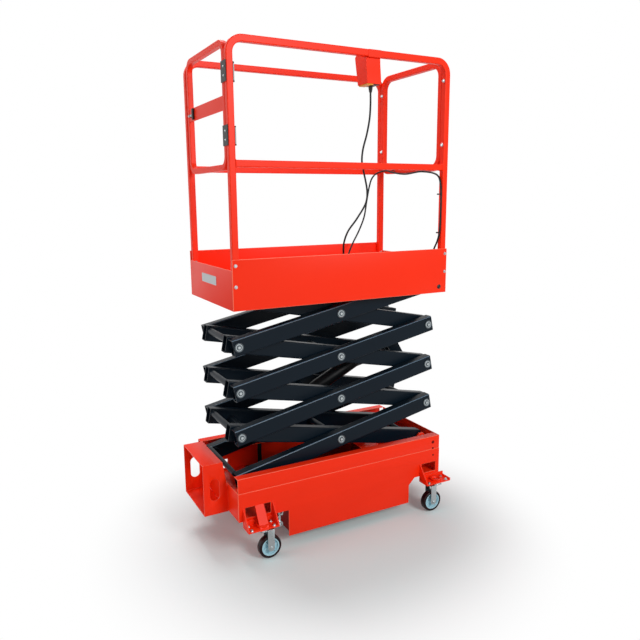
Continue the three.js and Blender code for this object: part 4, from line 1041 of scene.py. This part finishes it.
gland_place = (lead_x, lead_y, gland_high[2])
nut_profile = in_mm((0, 0), (10.5, 0), (11, -1.5), (11, -12.5), (10, -14), (0, -14))
cone_profile = in_mm((0, -13), (9.4, -14), (9, -18), (6.4, -30), (5.2, -32), (0, -32))
gland_nut = turned(nut_profile, gland_place, (0, 0, 1), 6)
gland_cone = turned(cone_profile, gland_place, (0, 0, 1), 28)
gland = make_piece("lead_gland", [gland_nut, gland_cone], black_abs, "platform")
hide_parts("cable_gland")
print("the sloping panel rises %.0f mm" % (np.linalg.norm(panel_rise) / MM))

# %% [markdown]
# ## Cable clips
# The lead is held by four small black clips on the inner faces of the front frame and the
# post. A clip is a thin strap looped around the lead against the tube, with its lock and a
# trimmed tail. The strap is a flat profile carried round a rounded outline.

# %% Clips
TIE_WIDTH, TIE_THICK = 4.8 * MM, 1.4 * MM
TIE_FAR = half_tube - 0.1 * MM
TIE_NEAR = half_tube + 2 * LEAD_RADIUS + 3.9 * MM
TIE_HALF = 8 * MM
forward = np.array([1.0, 0, 0])


def tie(tube_centre, up, run):
    """A clip on a tube's rear face. The lead passes through it along run, and up is the
    loop's longer way. The loop spans from just inside the tube's face to past the lead."""
    up = np.array(up, float)
    middle = tube_centre - forward * (TIE_NEAR + TIE_FAR) / 2
    loop = rounded_rectangle(TIE_NEAR - TIE_FAR, 2 * TIE_HALF, 4 * MM, steps=4)
    path = middle + loop[:, :1] * forward + loop[:, 1:] * up
    strap = carried(rounded_rectangle(TIE_WIDTH, TIE_THICK, 0.5 * MM, steps=1), path, run, closed=True)
    lock_place = middle - forward * (TIE_NEAR - TIE_FAR) / 2 + up * (TIE_HALF - 3 * MM)
    lock = carried(rounded_rectangle(7 * MM, 6 * MM, 1 * MM, steps=2),
                   [lock_place - up * 4 * MM, lock_place + up * 4 * MM], run)
    tail_path = bent_path([lock_place, lock_place - forward * 5 * MM + up * 2 * MM,
                           lock_place - forward * 8 * MM - up * 9 * MM], 3 * MM, steps=5)
    tail = carried(rounded_rectangle(TIE_WIDTH * 0.8, TIE_THICK * 0.8, 0.4 * MM, steps=1), tail_path, run)
    return [strap, lock, tail]


POST_Y = rail_outer_y + half_tube
ties = []
for y in (-140 * MM, 120 * MM):
    ties += tie((POST_FRONT, y, MID_RAIL_Z), (0, 0, 1), (0, 1, 0))
for z in (1.690, 1.497):
    ties += tie((POST_FRONT, POST_Y, z), (0, 1, 0), (0, 0, 1))
make_piece("cable_ties", ties, black_abs, "platform")
print("clips:", len(ties) // 3)

# %% [markdown]
# ## The scissor arms
# Every arm is an open-ended rectangular tube, 80 by 50 mm with a 4 mm wall. Its outline is
# carried along the arm's own axis, and the whole is then turned to the arm's slope. Open
# ends matter: they read as dark slots from outside, and no solid bar gives that.

# %% Arm tubes
ARM_HEIGHT, ARM_WIDTH, ARM_WALL, ARM_CORNER = 80 * MM, 50 * MM, 4 * MM, 6 * MM
ARM_END, INNER_REAR_END, TOP_REAR_END, ARM_CHAMFER = 26 * MM, 42 * MM, 14 * MM, 32 * MM
ARM_OUTER_Y = 225 * MM
SIDE_CLEARANCE = 6 * MM
PIN_RADIUS, HEAD_RADIUS, HEAD_HEIGHT = 15 * MM, 22 * MM, 7 * MM
ROLLER_RADIUS, ROLLER_WIDTH, SHAFT_RADIUS = 22 * MM, 44 * MM, 12 * MM
CROSS_RADIUS = 16 * MM
outer_inside = ARM_OUTER_Y - ARM_WIDTH
inner_outside = outer_inside - SIDE_CLEARANCE
inner_inside = inner_outside - ARM_WIDTH
track_inside = ARM_OUTER_Y + HEAD_HEIGHT + 5 * MM
rise_to_pin = front_pins[1] - centre_pins[0]
ARM_ANGLE = math.atan2(rise_to_pin[2], rise_to_pin[0])


def laid(parts, centre, slope):
    """Parts made along X about their middle, turned about Y by the arms' angle times
    slope, and moved to a centre."""
    c, s = math.cos(slope * ARM_ANGLE), math.sin(slope * ARM_ANGLE)
    turn = np.array([[c, 0, s], [0, 1, 0], [-s, 0, c]])
    return [(points @ turn + centre, faces) for points, faces in parts]


def arm_outline(width, height, radius):
    """A rounded rectangle with two more points on each upright side, where an arm's cut
    corner begins."""
    outline = rounded_rectangle(width, height, radius, steps=4)
    half = len(outline) // 2
    break_at = ARM_HEIGHT / 2 - ARM_CHAMFER
    right = [(width / 2, -break_at), (width / 2, break_at)]
    left = [(-width / 2, break_at), (-width / 2, -break_at)]
    return np.vstack([right, outline[:half], left, outline[half:]])


def arm_tube(x0, x1, y, cut=0):
    """An open tube between two places along an arm. With cut at +1 or -1, the upper or
    lower corner of its front end is cut at 45 degrees."""
    outside = arm_outline(ARM_WIDTH, ARM_HEIGHT, ARM_CORNER)
    inside = arm_outline(ARM_WIDTH - 2 * ARM_WALL, ARM_HEIGHT - 2 * ARM_WALL, ARM_CORNER - ARM_WALL / 2)
    points, faces = hollow(outside, inside, [(x0, y, 0), ((x0 + x1) / 2, y, 0), (x1, y, 0)], (0, 1, 0))
    if cut:
        limit = x1 - np.maximum(0, cut * points[:, 2] - (ARM_HEIGHT / 2 - ARM_CHAMFER))
        points[:, 0] = np.minimum(points[:, 0], limit)
    return points, faces


def bar_y(x, z, radius, y0, y1, segments=28, edge=1.0 * MM):
    """A round bar along Y, its ends chamfered by edge."""
    length = abs(y1 - y0)
    profile = [(0, 0), (radius - edge, 0), (radius, edge), (radius, length - edge), (radius - edge, length),
               (0, length)]
    return turned(profile, (x, min(y0, y1), z), (0, 1, 0), segments)


def roller(x, sign):
    """A slide roller on its shaft, turned with a groove beside each rim."""
    face = track_inside + 1 * MM
    r, w = ROLLER_RADIUS, ROLLER_WIDTH
    profile = [(0, 0), (r - 7 * MM, 0), (r - 6 * MM, 1.5 * MM), (r - 3 * MM, 1.5 * MM), (r - 1.5 * MM, 0),
               (r, 1.5 * MM), (r, w - 1.5 * MM), (r - 1.5 * MM, w), (r - 3 * MM, w - 1.5 * MM),
               (r - 6 * MM, w - 1.5 * MM), (r - 7 * MM, w), (0, w)]
    return turned(profile, (x, sign * face, 0), (0, sign, 0), 36)


def pin_head(x, sign):
    """A pin seen end on: a plate dished around the bolt that holds it. Returns the plate apart
    from the bright ring and bolt: the plate is drawn in a darker zinc, which paints the shade of its dished
    recess."""
    r, dish = HEAD_RADIUS, 1.6 * MM
    place, out = (x, sign * ARM_OUTER_Y, 0), (0, sign, 0)
    plate = turned([(0, 0), (r, 0), (r, 3.2 * MM), (r - 0.8 * MM, 4 * MM), (r - 1.6 * MM, 4 * MM),
                    (r - 4.5 * MM, dish), (0, dish)], place, out, 40)
    ring = turned([(r - 9.5 * MM, dish), (r - 5 * MM, dish), (r - 6 * MM, 3 * MM), (r - 9 * MM, 3 * MM)],
                  place, out, 36, closed=True)
    head = bolt((x, sign * (ARM_OUTER_Y + dish), 0), out, 16 * MM, HEAD_HEIGHT - 1.9 * MM)
    return [plate], [ring] + head


print("arm slope %.2f degrees" % math.degrees(ARM_ANGLE))


# %% Outer arms, one pair to a level
COLLAR = [(PIN_RADIUS, 0), (PIN_RADIUS + 11 * MM, 0), (PIN_RADIUS + 10 * MM, 2 * MM), (PIN_RADIUS, 2.4 * MM)]
ROLLER_TIP = track_inside + 6 * MM


def arm_fittings(level, sign):
    """The steel pins, rollers and bolts of one outer arm, and apart from them the plates, drawn darker as
    painted shade in their recess.
    """
    steel, plates = [], []
    for x in (-REACH, 0, REACH):
        if level == 1 and x < 0:
            steel += [bar_y(x, 0, SHAFT_RADIUS, sign * (outer_inside + MM), sign * ROLLER_TIP),
                      roller(x, sign)]
        elif level == LEVELS and x > 0:
            tip = track_inside + 13 * MM
            steel.append(bar_y(x, 0, PIN_RADIUS, sign * (outer_inside + MM), sign * tip))
        else:
            root, tip = inner_inside + 2 * MM, ARM_OUTER_Y + MM
            steel.append(bar_y(x, 0, PIN_RADIUS, sign * root, sign * tip))
            plate, bright = pin_head(x, sign)
            plates += plate
            steel += bright
    return steel, plates


for level in range(1, LEVELS + 1):
    centre, body = centre_pins[level - 1], f"outer_{level}"
    for side, sign in SIDES:
        cut = -1 if level == LEVELS else 0
        tube = arm_tube(-REACH - ARM_END, REACH + ARM_END, sign * (ARM_OUTER_Y - ARM_WIDTH / 2), cut)
        collars = [turned(COLLAR, (x, sign * outer_inside, 0), (0, -sign, 0), 32, closed=True)
                   for x in (-REACH, 0, REACH)]
        arm = make_piece(f"{side}_arm_tube_{level}", laid([tube] + collars, centre, 1), slate_powder_coat,
                         body)
        # A painted highlight goes on the arm's upper corners.
        with_painted_highlight_corners(arm, edge_highlight_coats[slate_powder_coat])
        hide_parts(f"{side}_outer_arm_{level}")
        steel, plates = arm_fittings(level, sign)
        make_piece(f"{side}_arm_pins_{level}", laid(steel, centre, 1), bright_zinc, body)
        make_piece(f"{side}_pin_plates_{level}", laid(plates, centre, 1), dull_zinc_recess_shade, body)
tie_tube = bar_y(-REACH - 19 * MM, 28 * MM, 13 * MM, -outer_inside, outer_inside)
tie_bar = make_piece("slide_tie_bar", laid([tie_tube], centre_pins[0], 1), slate_powder_coat,
                     "outer_1")
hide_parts("slide_tie_tube")
print("outer arms:", 2 * LEVELS)

# %% Inner frames, with their cross tubes and lugs
EYE_REACH, BARREL_DROP, EYE_PIN_RADIUS = 615 * MM, 33 * MM, 20 * MM
ROD_REACH, ROD_RISE, ROD_LUG_Y = 138 * MM, 92.5 * MM, (23 * MM, 33 * MM)
FRONT_CROSS = 48 * MM


def lug_plate(root, tip, root_radius, tip_radius, y0, y1):
    """A plate with two round ends: half a circle about each centre, joined by tangents."""
    along = math.atan2(tip[1] - root[1], tip[0] - root[0])
    turn = np.linspace(-np.pi / 2, np.pi / 2, 14)
    arcs = []
    for end, radius, facing_turn in ((tip, tip_radius, along), (root, root_radius, along + np.pi)):
        arcs.append(np.column_stack([end[0] + radius * np.cos(facing_turn + turn),
                                     end[1] + radius * np.sin(facing_turn + turn)]))
    outline = np.vstack(arcs)
    edge = 1 * MM
    rows = []
    for y, inset in ((y0, edge), (y0 + edge, 0), (y1 - edge, 0), (y1, edge)):
        middle = outline.mean(axis=0)
        away = outline - middle
        ring = outline - away / np.linalg.norm(away, axis=1, keepdims=True) * inset
        rows.append(np.column_stack([ring[:, 0], np.full(len(ring), y), ring[:, 1]]))
    return capped(rows)


for level in range(1, LEVELS + 1):
    centre, body = centre_pins[level - 1], f"inner_{level}"
    across = inner_inside + ARM_WALL / 2
    rear_end = TOP_REAR_END if level == LEVELS else INNER_REAR_END
    cut = 1 if level == 1 else 0
    parts = [arm_tube(-REACH - rear_end, REACH + ARM_END, sign * (inner_outside - ARM_WIDTH / 2), cut)
             for _, sign in SIDES]
    rear_cross = (-REACH + 45 * MM, 0) if level == LEVELS else (-REACH - 22 * MM, 14 * MM)
    crosses = [(*rear_cross, CROSS_RADIUS), (REACH - FRONT_CROSS, 0, CROSS_RADIUS)]
    if level != 2:
        crosses.append((0, 0, CROSS_RADIUS))
    for x, z, radius in crosses:
        parts.append(bar_y(x, z, radius, -across, across))
        for _, sign in SIDES:
            ring = circle(radius, 28)
            around = np.column_stack([x + ring[:, 0], np.full(28, sign * inner_inside), z + ring[:, 1]])
            parts.append(bead(around, (0, 1, 0)))
    if level == 1:
        parts.append(block((-REACH + 58 * MM, -across, -30 * MM), (-REACH + 92 * MM, across, 2 * MM),
                           3 * MM, along=1))
    if level == 2:
        eye_x, pin_end = REACH - EYE_REACH, inner_inside - 6 * MM
        parts.append(bar_y(eye_x, -BARREL_DROP, EYE_PIN_RADIUS, -pin_end, pin_end))
        for _, sign in SIDES:
            parts.append(bar_y(eye_x, -BARREL_DROP / 2, EYE_PIN_RADIUS - 2 * MM,
                               sign * (inner_inside - 14 * MM), sign * across))
    if level == 3:
        root, tip = (REACH - FRONT_CROSS, 0), (REACH - ROD_REACH, ROD_RISE)
        for _, sign in SIDES:
            y0, y1 = sorted((sign * ROD_LUG_Y[0], sign * ROD_LUG_Y[1]))
            parts.append(lug_plate(root, tip, 30 * MM, 34 * MM, y0, y1))
    inner = make_piece(f"inner_arms_{level}", laid(parts, centre, -1), slate_powder_coat, body)
    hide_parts(f"inner_frame_{level}")
    steel = []
    for _, sign in SIDES:
        root = sign * (inner_inside + MM)
        if level == LEVELS:
            steel += [bar_y(-REACH, 0, SHAFT_RADIUS, root, sign * ROLLER_TIP), roller(-REACH, sign)]
        if level == 1:
            steel.append(bar_y(REACH, 0, PIN_RADIUS, root, sign * (outer_inside + 20 * MM)))
    if steel:
        make_piece(f"inner_pins_{level}", laid(steel, centre, -1), bright_zinc, body)
print("arms and frames:", 3 * LEVELS)

# %% [markdown]
# ## The hydraulic cylinder
# One cylinder lifts everything. Its barrel is black, with a screwed gland at the mouth and a
# steel pipe along its side, and its rod is ground and chromed. Both are profiles turned
# about the cylinder's own line, which the sliding joint gives.

# %% Cylinder
cylinder_line = np.array(next(j["axis"] for j in frame["joints"] if j["name"] == "rod_slide"))
if cylinder_line[2] < 0:
    cylinder_line = -cylinder_line
barrel_foot = joint_place("barrel_pivot")
_, rod_high = corners("cylinder_rod")
ROD_EYE_RADIUS = 26 * MM
rod_eye = np.array([rod_high[0] - ROD_EYE_RADIUS, 0, rod_high[2] - ROD_EYE_RADIUS])
STROKE_LENGTH = float((rod_eye - barrel_foot) @ cylinder_line)
BARREL_RADIUS, BARREL_LENGTH, ROD_RADIUS, ROD_TAIL = 37 * MM, 440 * MM, 20 * MM, 285 * MM
EYE_HALF = 20 * MM


def eye_ring(place, outer, bore, half):
    """A pivot eye: a closed ring profile with chamfered rims, turned about Y."""
    rim = 2 * MM
    profile = [(bore, -half), (outer - rim, -half), (outer, -half + rim),
               (outer, half - rim), (outer - rim, half), (bore, half)]
    return turned(profile, place, (0, 1, 0), 40, closed=True)


bore_end = STROKE_LENGTH - ROD_TAIL - 45 * MM
r, mouth = BARREL_RADIUS, BARREL_LENGTH
collar_foot, collar_radius = mouth - 39 * MM, r + 4 * MM
barrel_profile = [(0, 30 * MM), (r - 4 * MM, 30 * MM), (r, 36 * MM),
                  (r, mouth - 44 * MM), (r + 1 * MM, mouth - 43 * MM), (r + 1 * MM, mouth - 41 * MM),
                  (collar_radius, collar_foot), (collar_radius, mouth - 3 * MM), (r + 1 * MM, mouth),
                  (ROD_RADIUS + 4 * MM, mouth), (ROD_RADIUS + 1 * MM, mouth - 3 * MM),
                  (ROD_RADIUS + 1 * MM, bore_end), (0, bore_end)]
port = barrel_foot + cylinder_line * (mouth - 20 * MM)
port_nut = turned(stub(11 * MM, 14 * MM, 2 * MM), port + (0, r + 2 * MM, 0), (0, 1, 0), 6)
barrel = make_piece("lift_cylinder_barrel",
                    [turned(barrel_profile, barrel_foot, cylinder_line, 48),
                     eye_ring(barrel_foot, 36 * MM, EYE_PIN_RADIUS + 0.7 * MM, EYE_HALF), port_nut],
                    black_powder_coat, "barrel")
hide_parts("cylinder_barrel")
pipe_side = (0, r + 9 * MM, 0)
pipe_corners = [port + (0, r + 8 * MM, 0), port + pipe_side - cylinder_line * 30 * MM,
                barrel_foot + pipe_side + cylinder_line * 90 * MM,
                barrel_foot + cylinder_line * 60 * MM + (0, r - 2 * MM, 0)]
pipe = bent_path(pipe_corners, 12 * MM, steps=6)
make_piece("cylinder_pipe", [carried(circle(4 * MM, 12), pipe, np.cross(cylinder_line, (0, 1, 0)))],
           bright_zinc, "barrel")
rod_foot, rod_neck = STROKE_LENGTH - ROD_TAIL, STROKE_LENGTH - 22 * MM
rod_profile = [(0, rod_foot), (ROD_RADIUS, rod_foot), (ROD_RADIUS, rod_neck - 8 * MM),
               (ROD_RADIUS - 3 * MM, rod_neck), (0, rod_neck)]
rod = make_piece("chromed_rod", [turned(rod_profile, barrel_foot, cylinder_line, 40)],
                 hard_chrome, "rod")
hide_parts("cylinder_rod")
pin_tip = EYE_HALF + MM
eye_pin = turned([(0, -pin_tip), (10 * MM, -pin_tip), (10 * MM, pin_tip), (0, pin_tip)],
                 rod_eye, (0, 1, 0), 28)
make_piece("rod_eye", [eye_ring(rod_eye, ROD_EYE_RADIUS, 10 * MM, EYE_HALF), eye_pin],
           slate_powder_coat, "rod")
lug_face = ROD_LUG_Y[1]
pin_end = [(0, lug_face), (15 * MM, lug_face), (16 * MM, lug_face + MM), (16 * MM, lug_face + 6 * MM),
           (0, lug_face + 6 * MM)]
make_piece("rod_lug_pin", [turned(pin_end, rod_eye, (0, sign, 0), 30) for sign in (-1, 1)],
           bright_zinc, "inner_3")
print("cylinder %.0f mm between its pins" % (STROKE_LENGTH / MM))

# %% [markdown]
# ## The base
# The base is folded and welded from sheet like the tray. The lower side sheet is lapped over
# the rail above it, so it stands proud by its paint and a hair more, and its edge catches
# the light. The entry step at the rear is one bent sheet with hand holes.

# %% Base sheets
LAP = 1.5 * MM


def lapped(points):
    """Moves a side sheet's outer face out by one lap. Its inner face stays."""
    outer = np.abs(points[:, 1]) > BASE_SIDE - 2 * MM
    moved = points.copy()
    moved[outer, 1] += np.sign(points[outer, 1]) * LAP
    return moved


for side, _ in SIDES:
    softened(f"{side}_base_rail", red_powder_coat, 1.4 * MM)
    softened(f"{side}_side_plate", red_powder_coat, 1.0 * MM, reshape=lapped)
for node in ("rear_wall", "front_wall", "rear_floor", "front_floor_and_pivot_lugs", "equipment_well"):
    # The equipment well takes its deeper red of painted shade.
    softened(node, well_painted_shade_red if node == "equipment_well" else red_powder_coat, 1.0 * MM)
softened("entry_step", red_powder_coat, 1.8 * MM)
print("base sheets: 10")

# %% Base details: ledge, welds, access holes, strap
wall_low, wall_high = corners("rear_wall")
ledge = block((wall_low[0] + 4 * MM, wall_low[1] + 2 * MM, wall_high[2] - 26 * MM),
              (wall_low[0] + 34 * MM, wall_high[1] - 2 * MM, wall_high[2] - 20 * MM), 1 * MM, along=1)
make_piece("rear_wall_ledge", [ledge], red_powder_coat, "chassis")
step_low, step_high = corners("entry_step")
WELD_STEPS = 40
weld_parts = []
for _, sign in SIDES:
    heights = np.linspace(step_low[2] + 4 * MM, wall_high[2] - 34 * MM, WELD_STEPS)
    path = np.column_stack([np.full(WELD_STEPS, BASE_REAR), np.full(WELD_STEPS, sign * step_high[1]), heights])
    weld_parts.append(carried(circle(2.2 * MM, 8), path, (0, 1, 0)))
make_piece("step_welds", weld_parts, red_powder_coat, "chassis")

# Each access hole is a thin disc of dark red painted shade, laid on the sheet.
ACCESS_HOLES = ((1122, 369, 8.5, 0), (1122, 334, 6.0, 0), (1124, 296, 5.0, LAP))
hole_shade_parts = []
for _, sign in SIDES:
    for x, z, radius, lap in ACCESS_HOLES:
        disc = in_mm((0, 0.15), (radius, 0.15), (radius + 0.6, 0), (radius, -1), (0, -1))
        place = (TRAY_REAR + x * MM, sign * (BASE_SIDE + lap), z * MM)
        hole_shade_parts.append(turned(disc, place, (0, sign, 0), 28))
make_piece("base_access_holes_painted_shade", hole_shade_parts, shaded_bore, "chassis")

strap_x = TRAY_REAR + 331 * MM
strap = block((strap_x - 12 * MM, BASE_SIDE - 48 * MM, 198 * MM),
              (strap_x + 12 * MM, BASE_SIDE - 44 * MM, 352 * MM), 1 * MM, along=2)
make_piece("battery_strap", [strap], black_abs, "chassis")
print("access holes:", len(hole_shade_parts))

# %% Battery and pump unit
battery_low, battery_high = corners("battery_block")


def battery(x0, x1, y0, y1, z0, z1):
    """A case with a stepped lid and its four caps."""
    lid, inset = z1 - 24 * MM, 1 * MM
    lid_top = lid + 8 * MM
    parts = [block((x0, y0, z0), (x1, y1, lid - 2 * MM), 5 * MM, along=2),
             block((x0 + inset, y0 + inset, lid - 3 * MM), (x1 - inset, y1 - inset, lid_top), 4 * MM, along=2)]
    for share in (0.2, 0.4, 0.6, 0.8):
        place = (x0 + (x1 - x0) * share, (y0 + y1) / 2, lid_top)
        parts.append(turned(stub(9 * MM, 4 * MM, 1 * MM), place, (0, 0, 1), 20))
    return parts


middle_y = (battery_low[1] + battery_high[1]) / 2
post_profile = in_mm((0, 0), (8, 0), (7, 14), (0, 14))
cells, posts = [], []
for y0, y1 in ((battery_low[1], middle_y - 3 * MM), (middle_y + 3 * MM, battery_high[1])):
    cells += battery(battery_low[0], battery_high[0], y0, y1, battery_low[2], battery_high[2])
    for x in (battery_low[0] + 26 * MM, battery_high[0] - 26 * MM):
        posts.append(turned(post_profile, (x, y0 + 26 * MM, battery_high[2] - 17 * MM), (0, 0, 1), 24))
battery_piece = make_piece("battery_pair", cells, black_abs, "chassis")
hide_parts("battery_block")
make_piece("battery_posts", posts, bright_zinc, "chassis")

pump_low, pump_high = corners("pump_block")
pump_middle = (pump_low + pump_high) / 2
motor_radius = (pump_high[2] - pump_low[2]) / 2 - 14 * MM
tank_radius = motor_radius + 8 * MM
span_x = pump_high[0] - pump_low[0]
motor_end, valve_end, tank_length = 0.42 * span_x, 0.6 * span_x, 0.4 * span_x
motor = [(0, 0), (motor_radius - 6 * MM, 0), (motor_radius, 6 * MM), (motor_radius, motor_end), (0, motor_end)]
valves = block((pump_low[0] + motor_end, pump_low[1] + 30 * MM, pump_low[2] + 4 * MM),
               (pump_low[0] + valve_end, pump_high[1] - 30 * MM, pump_high[2] - 4 * MM), 3 * MM, along=2)
tank = stub(tank_radius, tank_length, 8 * MM)
motor_foot = np.array([pump_low[0], pump_middle[1], pump_middle[2]])
pump_parts = [turned(motor, motor_foot, (1, 0, 0), 40), valves,
              turned(tank, motor_foot + (valve_end, 0, 0), (1, 0, 0), 40)]
pump_piece = make_piece("pump_unit", pump_parts, black_powder_coat, "chassis")
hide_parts("pump_block")
print("battery and pump unit set in the well")

# %% [markdown]
# ## Casters and their brackets
# A bracket is a thick plate on the base's side, stiffened by gussets, with a raised boss for
# the swivel and four bolts. The rear ones have a slanted tongue, and the front ones a low
# lip. Forks are pressed steel and zinc plated. A wheel is a pale nylon centre with ribs,
# inside a dark polyurethane tyre whose section is a squircle: half its width times a cosine,
# and its height times a sine, each raised to a power below one, which squares a circle's
# shoulders.

# %% Brackets
BRACKET_TOP = 166 * MM
BOSS_SWELL, BOSS_LIFT, BOSS_REACH = 1.2, 5 * MM, 29 * MM
BOLTS_X, BOLTS_Y = (-63 * MM, 50 * MM), (-22 * MM, 22 * MM)


def with_wide_boss(kingpin):
    """A reshaping that widens and raises the boss about the swivel's axis."""
    def reshape(points):
        moved = points.copy()
        away = np.linalg.norm(points[:, :2] - kingpin[:2], axis=1)
        boss = (points[:, 2] > BRACKET_TOP + 1 * MM) & (away < BOSS_REACH)
        moved[boss, :2] = kingpin[:2] + (points[boss, :2] - kingpin[:2]) * BOSS_SWELL
        moved[boss, 2] += BOSS_LIFT
        return moved
    return reshape


tongue_section = rounded_rectangle(46 * MM, 5 * MM, 1.2 * MM, steps=2)
bracket_bolts, tongues = [], []
for side, sign in SIDES:
    for end in ENDS:
        kingpin = joint_place(f"{side}_{end}_swivel")
        softened(f"{side}_{end}_caster_bracket", red_powder_coat, 1.6 * MM,
                 reshape=with_wide_boss(kingpin))
        for dx in BOLTS_X:
            for dy in BOLTS_Y:
                bracket_bolts += bolt((kingpin[0] + dx, kingpin[1] + sign * dy, BRACKET_TOP), (0, 0, 1),
                                      13 * MM, 7 * MM, 9 * MM)
        if end == "rear":
            tongue = [(kingpin[0], sign * (BASE_SIDE + LAP), BRACKET_TOP + 92 * MM),
                      (kingpin[0], sign * (BASE_SIDE + 67.5 * MM), BRACKET_TOP - 10 * MM)]
            tongues.append(carried(tongue_section, tongue, (1, 0, 0)))
make_piece("bracket_bolts", bracket_bolts, bright_zinc, "chassis")
make_piece("bracket_tongues", tongues, red_powder_coat, "chassis")

print("bracket bolts:", len(bracket_bolts) // 2)

# %% Catches
# A small zinc lever with a ring at its foot hangs in the opening beside each rear bracket.
lever_section = rounded_rectangle(14 * MM, 6 * MM, 2 * MM, steps=3)
ring_profile = in_mm((4, 0), (12, 0), (13.5, 2), (13.5, 14), (12, 16), (7, 16), (6, 12), (4, 12))
catch_parts = []
for _, sign in SIDES:
    x, y = TRAY_REAR + 210 * MM, sign * 278 * MM
    lever = [(x - 16 * MM, y, 156 * MM), (x + 18 * MM, y, 183 * MM)]
    catch_parts.append(carried(lever_section, lever, (0, 1, 0)))
    catch_parts.append(block((x - 5 * MM, y - 3 * MM, 122 * MM), (x + 5 * MM, y + 3 * MM, 189 * MM),
                             1.5 * MM, along=2))
    catch_parts += bolt((x + 8 * MM, y + sign * 7 * MM, 175 * MM), (0, sign, 0), 13 * MM, 5 * MM)
    catch_parts.append(turned(ring_profile, (x, y - sign * 4 * MM, 126 * MM), (0, sign, 0), 30, closed=True))
make_piece("lock_catches", catch_parts, bright_zinc, "chassis")
print("catches:", len(SIDES))

# %% Forks and wheels
TYRE_POWER = 0.42
RIB_COUNT = 6
RIM_RADIUS, HUB_RADIUS, BORE_RADIUS = 44 * MM, 14 * MM, 6.7 * MM
WEB_HALF, FORK_LEG = 5 * MM, 27 * MM


def tyre_section(inner, outer, half):
    """Points of a squircle, (radius, offset): closed, with its flat side on the rim."""
    t = np.linspace(0.02, np.pi - 0.02, 30)
    offset = half * np.sign(np.cos(t)) * np.abs(np.cos(t)) ** TYRE_POWER
    radius = inner + (outer - inner) * np.sin(t) ** TYRE_POWER
    return [(inner, half - 1.2 * MM)] + list(zip(radius, offset)) + [(inner, -half + 1.2 * MM)]


def wheel_centre(axle, half):
    """A hub, a thin web and a rim as one ring of section, with six ribs on both faces."""
    r, hub, web = RIM_RADIUS, HUB_RADIUS, WEB_HALF
    section = [(BORE_RADIUS, -half - 2 * MM), (hub - 1 * MM, -half - 2 * MM), (hub, -half - 1 * MM),
               (hub + 1.5 * MM, -web), (r - 8 * MM, -web), (r - 5.5 * MM, -half + 1 * MM),
               (r - 4.5 * MM, -half), (r, -half)]
    section += [(radius, -offset) for radius, offset in section[::-1]]
    parts = [turned(section, axle, (0, 1, 0), 60, closed=True)]
    rib_section = rounded_rectangle(8 * MM, 5.5 * MM, 1.5 * MM, steps=2)
    for k in range(RIB_COUNT):
        turn = 2 * np.pi * (k + 0.25) / RIB_COUNT
        spoke = np.array([math.cos(turn), 0, math.sin(turn)])
        for face in (-1, 1):
            root = axle + np.array([0, face * (web + 3 * MM), 0])
            rib = [root + spoke * (hub - 1 * MM), root + spoke * (r - 5 * MM)]
            parts.append(carried(rib_section, rib, (0, 1, 0)))
    return parts


for side, _ in SIDES:
    for end in ENDS:
        prefix = f"{side}_{end}"
        softened(f"{prefix}_caster_fork", bright_zinc, 0.9 * MM)
        axle = joint_place(f"{prefix}_wheel_spin")
        tyre_low, tyre_high = corners(f"{prefix}_tyre")
        tyre_radius = (tyre_high[2] - tyre_low[2]) / 2
        tyre_half = (tyre_high[1] - tyre_low[1]) / 2
        section = tyre_section(RIM_RADIUS + 0.3 * MM, tyre_radius, tyre_half)
        tyre = make_piece(f"{prefix}_tread", [turned(section, axle, (0, 1, 0), 72, closed=True)],
                          polyurethane_tread, f"{prefix}_wheel")
        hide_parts(f"{prefix}_tyre")
        rim = make_piece(f"{prefix}_wheel_centre", wheel_centre(axle, tyre_half - 1.5 * MM),
                         nylon_wheel_centre, f"{prefix}_wheel")
        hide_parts(f"{prefix}_rim")
        nuts = []
        for face in (-1, 1):
            nuts += bolt(axle + (0, face * FORK_LEG, 0), (0, face, 0), 15 * MM, 3.4 * MM, 9.5 * MM)
        make_piece(f"{prefix}_axle_nuts", nuts, bright_zinc, f"{prefix}_caster")
print("wheels: %.0f mm" % (2 * tyre_radius / MM))
